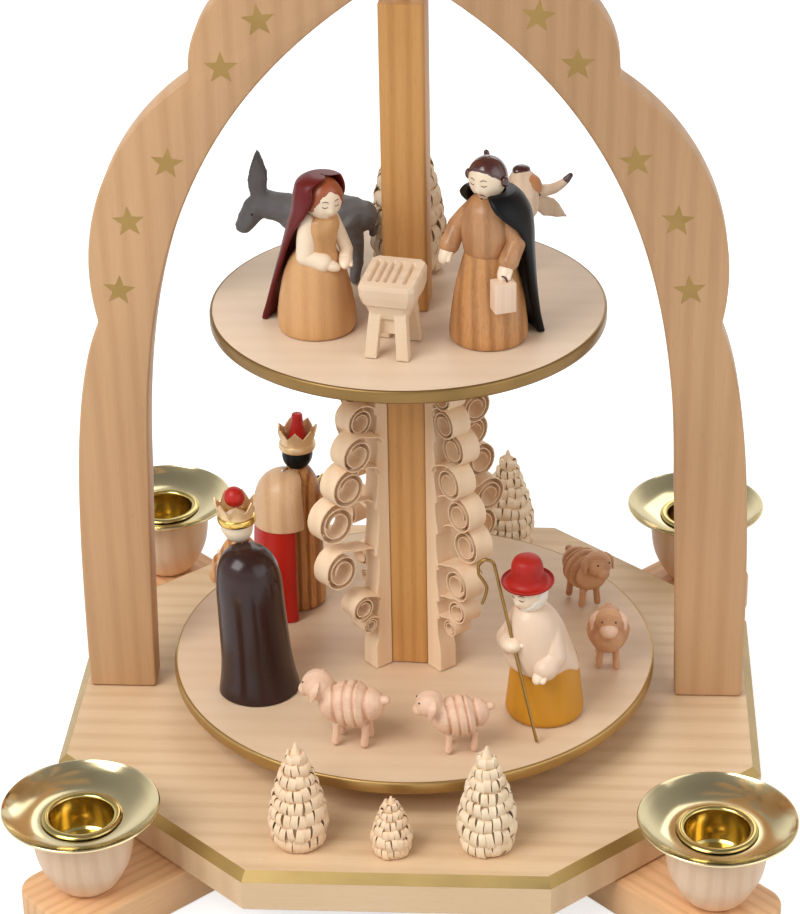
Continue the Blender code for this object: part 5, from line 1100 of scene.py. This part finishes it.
# Donkey and ox
# Each is whittled from one block with a few broad cuts. The donkey is painted grey, and the ox is
# pale wood with brown patches and dark horn tips.
ANIMAL_LENGTH = 0.0420
donkey_place = standing(-0.0280, 0.0134, UPPER_FLOOR, radians(4))
ox_place = standing(0.0280, 0.0210, UPPER_FLOOR, radians(107))


def in_lengths(length, *forms):
    """Limbs given by points and radii in shares of the animal's length."""
    return [limb([Vector(p) * length for p in points], [r * length for r in radii], 24, 4, *flat)
            for points, radii, *flat in forms]


def both_sides(points, radii):
    """A limb and its mirror image."""
    return (points, radii), ([(x, -y, z) for x, y, z in points], radii)


SIDEWAYS, UPRIGHT = Vector((1, 0, 0)), Vector((0, 0, 1))
donkey_forms = in_lengths(
    ANIMAL_LENGTH,
    (((-0.10, 0, 0.49), (0.05, 0, 0.475), (0.21, 0, 0.48), (0.345, 0, 0.47)), (0.125, 0.148, 0.150, 0.112)),
    (((-0.05, 0, 0.49), (-0.20, 0, 0.545), (-0.33, 0, 0.575)), (0.125, 0.106, 0.094)),
    (((-0.32, 0, 0.590), (-0.385, 0, 0.520), (-0.450, 0, 0.420)), (0.092, 0.086, 0.062)),
    (((-0.34, 0.035, 0.62), (-0.345, 0.052, 0.78), (-0.345, 0.072, 0.930)), (0.056, 0.068, 0.012), 0.42,
     SIDEWAYS),
    (((-0.34, -0.035, 0.62), (-0.350, -0.050, 0.77), (-0.345, -0.062, 0.910)), (0.056, 0.068, 0.012), 0.42,
     SIDEWAYS),
    *both_sides(((-0.06, 0.075, 0.035), (-0.055, 0.070, 0.22), (-0.03, 0.055, 0.45)), (0.036, 0.038, 0.085)),
    *both_sides(((0.285, 0.075, 0.038), (0.305, 0.070, 0.22), (0.25, 0.055, 0.45)), (0.038, 0.050, 0.108)),
    (((0.375, 0, 0.53), (0.412, 0, 0.44), (0.416, 0, 0.34)), (0.020, 0.022, 0.028)))


def whittled(depth, size):
    """Broad shallow facets left by the knife."""
    return lambda place: depth * abs(noise.noise(place / size)) ** 0.7


donkey_grey = painted("donkey_grey", tone(110, 109, 110), 0.55, 0.0, 0.08, specular=0.3)
donkey = carved("donkey", donkey_forms, 0.00035, 3, whittled(0.0004, 0.0042))
put("donkey_carved", donkey, donkey_grey, "grey_paint", "donkey", crease=80, at=donkey_place)
black_dot = painted("black_dot", tone(24, 22, 22), 0.3, 0.4, 0.05)


def dots(name, place, length, size, carrier):
    """Two painted eyes, small and round; the place is in shares of the animal's length."""
    x, y, z = place
    mesh = skin(name, *[egg((size, size, size), Vector((x, side * y, z)) * length, None, 8, 14)
                        for side in (-1, 1)])
    put(name, mesh, black_dot, "black_lacquer", at=carrier)


dots("donkey_eyes", (-0.392, 0.083, 0.530), ANIMAL_LENGTH, 0.00042, donkey_place)
ox_forms = in_lengths(
    ANIMAL_LENGTH,
    (((-0.10, 0, 0.42), (0.05, 0, 0.40), (0.24, 0, 0.405), (0.40, 0, 0.40)), (0.140, 0.160, 0.162, 0.110)),
    (((-0.06, 0, 0.44), (-0.17, 0, 0.55), (-0.28, 0, 0.66)), (0.140, 0.120, 0.104)),
    (((-0.305, 0, 0.780), (-0.375, 0, 0.705), (-0.430, 0, 0.635)), (0.096, 0.096, 0.074)),
    (((-0.33, 0.06, 0.67), (-0.32, 0.17, 0.67), (-0.31, 0.275, 0.64)), (0.034, 0.066, 0.016), 0.4, UPRIGHT),
    (((-0.33, -0.06, 0.66), (-0.32, -0.18, 0.585), (-0.31, -0.295, 0.505)), (0.036, 0.074, 0.016), 0.4,
     UPRIGHT),
    *both_sides(((-0.06, 0.085, 0.042), (-0.055, 0.080, 0.18), (-0.03, 0.060, 0.36)), (0.042, 0.042, 0.080)),
    *both_sides(((0.33, 0.085, 0.042), (0.35, 0.080, 0.18), (0.31, 0.060, 0.36)), (0.042, 0.044, 0.095)),
    (((0.46, 0, 0.48), (0.50, 0, 0.38), (0.49, 0, 0.22)), (0.018, 0.018, 0.028)))
ox = carved("ox", ox_forms, 0.00035, 3, whittled(0.00035, 0.0042))
ox_pale = grained("ox_wood", tone(240, 216, 190), tone(214, 180, 148), "Z", 0.0048, 0.5, figure=0.3)
put("ox_carved", ox, ox_pale, "cream_wood", "ox", crease=80, at=ox_place)
horn_tips, horns = [], []
for horn in (((-0.34, 0.06, 0.750), (-0.35, 0.13, 0.785), (-0.35, 0.19, 0.835), (-0.345, 0.235, 0.93),
              (-0.340, 0.255, 1.030)),
             ((-0.34, -0.07, 0.722), (-0.35, -0.14, 0.720), (-0.35, -0.21, 0.728), (-0.355, -0.275, 0.765),
              (-0.360, -0.315, 0.810))):
    horn = [Vector(point) * ANIMAL_LENGTH for point in horn]
    horns.append(limb(horn[:4], [0.0018, 0.0017, 0.0015, 0.0011], 16, 4))
    horn_tips.append(limb([horn[3].lerp(horn[4], 0.35), horn[4]], [0.0011, 0.00075], 14, 4))
for piece_name, shells, finish, slot in (("ox_horns", horns, ox_pale, "cream_wood"),
                                         ("ox_horn_tips", horn_tips, dark_hair, "brown_lacquer")):
    mesh = skin(piece_name, *shells)
    put(piece_name, mesh, finish, slot, at=ox_place)
blaze = skin("ox_blaze", egg((0.0036, 0.0034, 0.0025), Vector((-0.358, -0.038, 0.768)) * ANIMAL_LENGTH,
                             turned(-0.85, "Y"), 12, 24))
tuft = skin("ox_tuft", egg((0.0020, 0.0026, 0.0012), Vector((-0.300, 0.005, 0.862)) * ANIMAL_LENGTH,
                           turned(-0.3, "Y"), 12, 24))
put("ox_tuft", tuft, dark_hair, "brown_lacquer", crease=80, at=ox_place)
put("ox_blaze", blaze, painted("ox_brown", tone(196, 134, 84), 0.5, 0.05, 0.12), "robe_wood", crease=80,
    at=ox_place)
dots("ox_eyes", (-0.395, 0.092, 0.712), ANIMAL_LENGTH, 0.00042, ox_place)

# Two kings
# Turned bodies with bowed arms that hold a gilt gift, and gilt crowns whose points are filed from
# a ring. A hollow turned cloak is split and glued to each back, one brown and one red with a cape.
KING_HEIGHT, KING_RADIUS, KING_HEAD = 0.0545, 0.0086, 0.00485
KING_PLACES = ((-0.0470, -0.0175, radians(204), -0.046), (-0.0373, 0.0270, radians(140), 0.026))
gift_gold = gilt("gift_gold", tone(230, 196, 120), 0.24)
crown_gold = painted("crown_gold", tone(232, 200, 152), 0.36, 0.25, 0.10, 900, 0.35)
band_gold = metal("band_gold", tone(216, 184, 104), 0.22)
king_red = painted("king_red", tone(186, 28, 14), 0.42, 0.05, 0.12, specular=0.35)
king_brown = painted("king_brown", tone(46, 20, 17), 0.24, 0.10, 0.25, 600, specular=0.35)
cape_wood = grained("cape_wood", tone(236, 200, 158), tone(206, 160, 116), "Z", 0.0050, 0.42, coat=0.15,
                    figure=0.4)
king_robe = grained("king_robe", tone(222, 166, 104), tone(150, 92, 44), "Z", 0.0026, 0.42, coat=0.15,
                    figure=0.7)
KING_CLOAK = ((0.00, 1.08, 1.80), (0.03, 1.055, 1.80), (0.10, 0.985, 1.80), (0.20, 0.925, 1.80),
              (0.32, 0.895, 1.82), (0.52, 0.865, 1.84), (0.64, 0.850, 1.84), (0.73, 0.785, 1.86),
              (0.79, 0.670, 1.95), (0.828, 0.500, 2.30), (0.852, 0.310, 2.90), (0.863, 0.130, 3.10),
              (0.866, 0.020, 3.10))
CAPE_EDGE = 0.56
KING_CROWNS = ((0.962, 1.098, 0.40), (0.970, 1.106, 0.34))
BAND_LINE = ((0.0050, -0.0002), (0.0054, 0.0), (0.0056, 0.0008), (0.0055, 0.0018), (0.0051, 0.0021),
             (0.0045, 0.0019), (0.0045, 0.0))
CAP_LINE = ((0.0011, 0.0643), (0.0016, 0.0639), (0.0018, 0.0620), (0.0024, 0.0575), (0.0036, 0.0540))
GIFT_LINE = ((0.0004, 0.0386), (0.0006, 0.0380), (0.0004, 0.0376), (0.0014, 0.0370), (0.0029, 0.0352),
             (0.0030, 0.0343), (0.0022, 0.0330), (0.0012, 0.0326), (0.0018, 0.0320))
KING_ARM = ((0.070, -0.02, 0.71), (0.108, -0.095, 0.60), (0.045, -0.190, 0.66))


def crown_band(place, radius, foot, rim, notch, points=7, around=140):
    """A flared ring whose rim is filed into points that lean outwards."""
    rings = []
    shares = ((0.0, 0.94), (0.12, 1.00), (0.26, 0.98), (0.45, 1.00), (0.72, 1.06), (1.0, 1.18))
    for inward in (0, 1):
        for share, flare in shares if not inward else shares[::-1]:
            ring = []
            for k in range(around):
                angle = 2 * pi * k / around
                saw = 1 - abs((points * k / around) % 1 * 2 - 1)
                cut = 1 - (1 - saw) * notch if share > 0.5 else 1
                height = foot + (rim - foot) * share * cut
                reach = radius * (1 + (flare - 1) * cut) - inward * 0.00045
                ring.append(place @ Vector((reach * cos(angle), reach * sin(angle), height)))
            rings.append(ring)
    return rings


for number, (x, y, turn, lean) in enumerate(KING_PLACES, 1):
    king = f"king_{number}"
    sheared = Matrix.Identity(4)
    sheared[0][2] = lean
    place = Matrix.Translation((x, y, LOWER_FLOOR)) @ sheared @ turned(turn)
    body = skin(king, turned_body(((0.16, 0.872), (0.32, 0.860), (0.54, 0.815), (0.72, 0.755), (0.81, 0.67),
                                   (0.84, 0.52), (0.88, 0.38), (0.93, 0.25), (0.98, 0.10), (1.00, 0.03),
                                   (0.985, 0.008)), KING_RADIUS, KING_HEIGHT))
    put(f"{king}_figure_body", body, king_robe, "robe_wood", f"{king}_figure", at=place)
    flesh = face_cream if number == 1 else black_lacquer
    flesh_slot = "cream_wood" if number == 1 else "black_lacquer"
    head = place @ Matrix.Translation((0, 0, 0.932 * KING_HEIGHT))
    face(f"{king}_figure", KING_HEAD, head, flesh, flesh_slot, 0.00011, 0.00012,
         ([place @ Vector((0, 0, height)) for height in (0.0460, 0.0490)], [0.0020, 0.0020]),
         eye_line if number == 1 else face_cream, "cream_wood")
    foot, rim, notch = KING_CROWNS[number - 1]
    crown = skin("crown", crown_band(place, 0.0051, foot * KING_HEIGHT, rim * KING_HEIGHT, notch), loop=True)
    put(f"{king}_figure_crown", crown, crown_gold, "brass", crease=50)
    band = [(radius, foot * KING_HEIGHT + up) for radius, up in BAND_LINE]
    ring = skin("band", turning(eased(band, 3), 72), loop=True)
    put(f"{king}_figure_crown_band", ring, band_gold if number == 1 else crown_gold, "brass", crease=80,
        at=place)
    if number == 1:
        top = egg((0.0030, 0.0030, 0.0031), (0, 0, 0.0602), None, 16, 32)
    else:
        top = turning([(0, 0.0643)] + eased(CAP_LINE, 4) + [(0, 0.0530)], 40)
    put(f"{king}_figure_cap", skin("cap", top), king_red, "red_lacquer", crease=60, at=place)
    for side, out in (("left", -1), ("right", 1)):
        points = [(out * x, y, z) for x, y, z in KING_ARM]
        arm(f"{king}_figure", place, KING_HEIGHT, *points, 0.0027, 0.0017, king_robe, flesh, "robe_wood",
            side)
    gift = skin("gift", turning([(0, 0.0386)] + eased(GIFT_LINE, 4) + [(0, 0.0319)], 40))
    gift_at = place @ Matrix.Translation((0, -0.0107, 0.0008))
    put(f"{king}_figure_gift", gift, gift_gold, "brass", crease=60, at=gift_at)
    size = (1.0, 0.90)[number - 1]
    lower = [(up, reach, 1.22) for up, reach, half in KING_CLOAK if up < 0.6]
    lower.append((CAPE_EDGE + 0.04, 0.855, 1.22))
    upper = [(CAPE_EDGE, 0.900, 1.55), (CAPE_EDGE + 0.012, 0.910, 1.55)]
    upper += [(up, reach + 0.040, half - 0.30) for up, reach, half in KING_CLOAK if up > 0.6]
    cloaks = (("bell", KING_CLOAK, king_brown, "brown_lacquer"),)
    if number == 2:
        cloaks = (("red", lower, king_red, "red_lacquer"), ("cape", upper, cape_wood, "robe_wood"))
    for part_name, rows, finish, slot in cloaks:
        put(f"{king}_cloak_{part_name}",
            cape("cloak", rows, 0.0101 * size, KING_HEIGHT, 0.0012, 0.0060, place, 60),
            finish, slot, f"{king}_cloak", crease=60)

# Shepherd
# The body leans forward from the waist. The skirt is painted ochre, the long cape is left pale,
# and the hat is red. The crook is one bronze wire, bent at its top into a hook with a wavy tail.
SHEPHERD_HEIGHT, SHEPHERD_RADIUS, SHEPHERD_HEAD = 0.0480, 0.0113, 0.00520
shepherd_place = standing(0.03965, -0.03250, LOWER_FLOOR, radians(-45))
bowed = shepherd_place @ Matrix.Translation((0, -0.0015, 0.30 * SHEPHERD_HEIGHT)) @ turned(radians(12), "X")
ochre = painted("ochre_paint", tone(196, 134, 20), 0.5, 0.05, 0.14, 700)
hat_red = painted("hat_red", tone(170, 28, 15), 0.46, 0.02, 0.14, 900, specular=0.3)
cape_pale = painted("cape_pale", tone(226, 198, 172), 0.45, 0.10, 0.05, 600)
skirt = skin("skirt", turned_body(((0.50, 0.44), (0.72, 0.425), (0.84, 0.36), (0.90, 0.26), (0.95, 0.14),
                                   (1.00, 0.04), (0.985, 0.010)), SHEPHERD_RADIUS, SHEPHERD_HEIGHT))
put("shepherd_skirt", skirt, ochre, "ochre_lacquer", "shepherd", at=shepherd_place)
CAPE_LINE = ((0.18, 0.500), (0.29, 0.490), (0.47, 0.455), (0.64, 0.390), (0.76, 0.305), (0.83, 0.220),
             (0.86, 0.150), (0.85, 0.105))
torso = skin("torso", turning([Vector((0, 0.50 * SHEPHERD_HEIGHT))] + eased(
    [(a * SHEPHERD_RADIUS, b * SHEPHERD_HEIGHT) for a, b in CAPE_LINE], 6)
    + [Vector((0.81 * SHEPHERD_RADIUS, 0.09 * SHEPHERD_HEIGHT)), Vector((0, 0.09 * SHEPHERD_HEIGHT))], 72))
for vertex in torso.vertices:
    hem = ramp(0.22 * SHEPHERD_HEIGHT - vertex.co.z, 0, 0.13 * SHEPHERD_HEIGHT)
    around = atan2(vertex.co.x, -vertex.co.y)
    tail = exp(-((around - 2.30) / 0.42) ** 2)
    vertex.co.z += hem * (0.0012 * cos(2 * around + 0.6) - 0.0062 * tail)
    vertex.co.xy *= 1 + 0.16 * hem * tail
put("shepherd_cape", torso, cape_pale, "cream_wood", "shepherd", crease=60, at=bowed)
shepherd_head = shepherd_place @ Matrix.Translation((0, -0.0064, 0.870 * SHEPHERD_HEIGHT))
shepherd_head = shepherd_head @ turned(radians(8), "X")
face("shepherd", SHEPHERD_HEAD, shepherd_head, face_cream, "cream_wood", 0.00014, 0.00013)
BEARD_EDGE = ((0, -38), (20, -34), (45, -22), (66, -4), (90, 20), (180, 40))
put("shepherd_beard", skin("beard", head_rings(
    SHEPHERD_HEAD, shepherd_head,
    lambda a, e: 0.93 + 0.15 * ramp(hairline(BEARD_EDGE, a) - e, -4, 5) + 0.010 * sin(radians(a) * 24))),
    painted("white_beard", tone(238, 228, 214), 0.5, 0.05, 0.05, 1500), "cream_wood", crease=80)
hat_line = [Vector((0, 1.073 * SHEPHERD_HEIGHT))] + eased(
    [(a * SHEPHERD_HEIGHT, b * SHEPHERD_HEIGHT) for a, b in
     ((0.040, 1.070), (0.074, 1.054), (0.092, 1.018), (0.096, 0.970), (0.101, 0.930), (0.118, 0.908),
      (0.140, 0.905), (0.153, 0.914), (0.158, 0.908), (0.150, 0.892), (0.125, 0.882), (0.095, 0.880))], 6) + [
    Vector((0, 0.880 * SHEPHERD_HEIGHT))]
hat_at = shepherd_place @ Matrix.Translation((-0.0006, -0.0042, 0.0019)) @ turned(radians(3), "X")
put("shepherd_hat", skin("hat", turning(hat_line, 72)), hat_red, "red_lacquer", "shepherd", crease=60,
    at=hat_at)
for side, points, sleeve, wrist in (
        ("left", ((-0.090, -0.07, 0.66), (-0.150, -0.165, 0.50), (-0.006, -0.268, 0.560)), 0.0034, 0.0029),
        ("right", ((0.085, -0.05, 0.64), (0.170, -0.090, 0.48), (0.168, -0.195, 0.398)), 0.0036, 0.0023)):
    arm("shepherd", shepherd_place, SHEPHERD_HEIGHT, *points, sleeve, wrist, cape_pale, face_cream,
        "cream_wood", side)
crook_foot = Vector((0.2419, -0.3001, 0.0)) * SHEPHERD_HEIGHT + Vector((0, 0, 0.0006))
crook_top = Vector((-0.1688, -0.2522, 1.015)) * SHEPHERD_HEIGHT
HOOK = 0.0023
across = Matrix.Rotation(radians(45), 3, "Z") @ Vector((-1, 0, 0))
hook_centre = crook_top + across * HOOK
wire_line = [crook_foot, crook_foot.lerp(crook_top, 0.5), crook_foot.lerp(crook_top, 0.93)]
wire_line += [hook_centre - across * HOOK * cos(pi * k / 6) + Vector((0, 0, HOOK * sin(pi * k / 6)))
              for k in range(7)]
wire_line += [hook_centre + across * HOOK * inward + Vector((0, 0, HOOK * drop))
              for inward, drop in ((1.0, -0.5), (0.92, -1.15), (0.40, -2.0), (0.0, -2.8), (0.04, -3.6),
                                   (0.28, -4.5), (0.52, -5.2))]
crook = skin("crook", limb(wire_line, [0.00047] * len(wire_line), 14, 6))
put("shepherd_crook_wire", crook, metal("crook_bronze", tone(150, 118, 66), 0.30), "bronze_wire",
    "shepherd_crook", crease=80, at=shepherd_place)

# Sheep
# Small sheep whittled from one piece, with a ball for a head, drooping ears and a stub of a tail.
# Knife cuts run round the body for the fleece.
SHEEP = (("sheep_1", 0.0186, -0.0160, -0.0513, -8, 0, -0.46, 0.97),
         ("sheep_2", 0.0165, 0.0150, -0.0542, 12, 0, -0.46, 0.97),
         ("sheep_3", 0.0172, 0.0515, 0.0268, 120, 1, -0.42, 1.01),
         ("sheep_4", 0.0172, 0.0581, -0.0086, 90, 2, -0.37, 1.10))
CUTS = (-0.16, 0.00, 0.16, 0.32)
pink_wood = grained("sheep_pale", tone(232, 196, 168), tone(206, 160, 130), "X", 0.0045, 0.5, figure=0.3)
tan_wood = grained("sheep_tan", tone(212, 164, 124), tone(174, 120, 82), "X", 0.0045, 0.5, figure=0.4)
for name, length, x, y, turn, tan, head_x, head_z in SHEEP:
    sheep_place = standing(x, y, LOWER_FLOOR, radians(turn))
    legs = [(((side * 0.02 + fore, side * 0.150, 0.065), (fore, side * 0.140, 0.28),
              (fore * 0.9, side * 0.110, 0.55)), (0.062, 0.058, 0.085))
            for fore in (-0.15, 0.30) for side in (-1, 1)]
    forms = in_lengths(length, (((-0.14, 0, 0.69), (0.02, 0, 0.68), (0.19, 0, 0.68), (0.31, 0, 0.70)),
                                (0.32, 0.375, 0.365, 0.27)),
                       (((-0.26, 0, 0.80), (head_x + 0.06, 0, head_z - 0.04)), (0.22, 0.20)), *legs)
    forms.append(egg((0.245 * length, 0.245 * length, 0.240 * length), Vector((head_x, 0, head_z)) * length))
    forms += in_lengths(length, (((head_x - 0.10, 0, head_z - 0.05), (head_x - 0.185, 0, head_z - 0.095)),
                                 (0.15, 0.115)),
                        (((0.52, 0, 0.80), (0.60, 0, 0.80)), (0.060, 0.075)))

    def fleece(place, length=length):
        """Rings cut round the body, deepest on the back."""
        along = place.x / length
        if along < -0.24 or place.z < 0.40 * length:
            return 0.0
        return 0.0009 * max(exp(-((along - cut + 0.10 * (place.z / length - 0.7)) / 0.022) ** 2)
                            for cut in CUTS)

    sheep = carved(name, forms, 0.00022, 3, fleece)
    finish = tan_wood if tan else pink_wood
    put(f"{name}_carved", sheep, finish, "sheep_wood", name, crease=80, at=sheep_place)
    ear = ((head_x + 0.04, 0.20, head_z + 0.13), (head_x, 0.275, head_z + 0.03),
           (head_x - 0.03, 0.285, head_z - 0.12))
    ears = skin("ears", *[limb([Vector((x, side * y, z)) * length for x, y, z in ear],
                               [share * length for share in (0.05, 0.085, 0.04)], 14, 4, 0.45)
                          for side in (-1, 1)])
    put(f"{name}_ears", ears, pink_wood if tan == 2 else finish, "sheep_wood", crease=80, at=sheep_place)
    if tan == 2:
        nose = carved("nose", [egg((0.165 * length, 0.165 * length, 0.155 * length),
                                   Vector((head_x - 0.150, 0, head_z - 0.078)) * length)], 0.00022, 3)
        put(f"{name}_nose", nose, pink_wood, "sheep_wood", crease=80, at=sheep_place)
    dots(f"{name}_eyes", (head_x - 0.195, 0.115, head_z + 0.09), length, 0.00032, sheep_place)

# Rotor
# The hub is turned from beech and pushed on the spindle. Eight thin tapered blades sit on round
# stems that turn in it, and a turned knob closes it. All of it is above the frame's upper edge.
HUB_FOOT, HUB_TOP, STEM_HEIGHT = 0.2936, 0.3076, 0.3006
HUB_RADIUS, BLADE_TIP, BLADE_ROOT = 0.0170, 0.1300, 0.0340
TIP_WIDTH, ROOT_WIDTH, BLADE_THICKNESS = 0.0440, 0.0180, 0.0016
BLADE_PITCH, STEM_RADIUS = radians(42), 0.0021
turned_beech = grained("hub_beech", tone(222, 178, 134), tone(184, 136, 94), "Z", 0.0035, 0.42, figure=0.45)
hub_outline = soften([(0, HUB_FOOT), (0.0136, HUB_FOOT), (HUB_RADIUS, 0.2961), (HUB_RADIUS, 0.2993),
                      (0.0166, 0.2998), (0.0166, 0.3014), (HUB_RADIUS, 0.3019), (HUB_RADIUS, 0.3051),
                      (0.0136, HUB_TOP), (0, HUB_TOP)], 0.0006)
hub = skin("rotor_hub", turning(hub_outline, 96))
stem_holes = []
for k in range(8):
    hole = peg((0, 0, 0.0175), (0, 0, 0.0078), STEM_RADIUS + 0.0002, 24)
    hole.transform(Matrix.Translation((0, 0, STEM_HEIGHT)) @ turned(k * pi / 4) @ turned(pi / 2, "Y"))
    stem_holes.append(hole)
put("rotor_hub_turned", notched(hub, *stem_holes), turned_beech, "beech", "rotor_hub")
finial_line = [Vector((0, 0.3229))] + eased([(0.0007, 0.3229), (0.0030, 0.3218), (0.0046, 0.3192),
                                             (0.0047, 0.3175), (0.0036, 0.3163), (0.0023, 0.3149),
                                             (0.0026, 0.3138), (0.0052, 0.3120), (0.0064, 0.3102),
                                             (0.0065, 0.3088), (0.0062, 0.3079)], 6)
put("rotor_finial_turned", skin("finial", turning(finial_line + [Vector((0, 0.3079))], 72)), turned_beech,
    "beech", "rotor_finial")
blade_pale = grained("blade_wood", tone(236, 206, 170), tone(208, 168, 126), "X", 0.0055, 0.5, figure=0.35)
for number in range(1, 9):
    tip, root, corner = TIP_WIDTH / 2, ROOT_WIDTH / 2, TIP_WIDTH * 0.20
    outline = [(BLADE_ROOT, -root)] + arc((BLADE_TIP - corner, corner - tip), corner, -pi / 2, 0, 8)
    outline += arc((BLADE_TIP - corner, tip - corner), corner, 0, pi / 2, 8) + [(BLADE_ROOT, root)]
    pitched = Matrix.Translation((0, 0, STEM_HEIGHT)) @ turned((number - 1) * pi / 4)
    pitched = pitched @ turned(BLADE_PITCH, "X")
    blade = sawn("blade", soften(outline, 0.0008, 3, closed=True), BLADE_THICKNESS, 0.0005)
    stem_line = [(0.0018, 0.0086), (STEM_RADIUS, 0.0090), (STEM_RADIUS, 0.0460), (0.0014, 0.0500)]
    stem = skin("stem", turning([(0, 0.0086)] + soften(stem_line, 0.0006) + [(0, 0.0500)], 28))
    stem.transform(turned(pi / 2, "Y"))
    for piece_name, mesh in (("board", blade), ("stem", stem)):
        put(f"rotor_blade_{number}_{piece_name}", mesh, blade_pale if piece_name == "board" else turned_beech,
            "cream_wood", f"rotor_blade_{number}", body=f"blade_{number}", at=pitched)
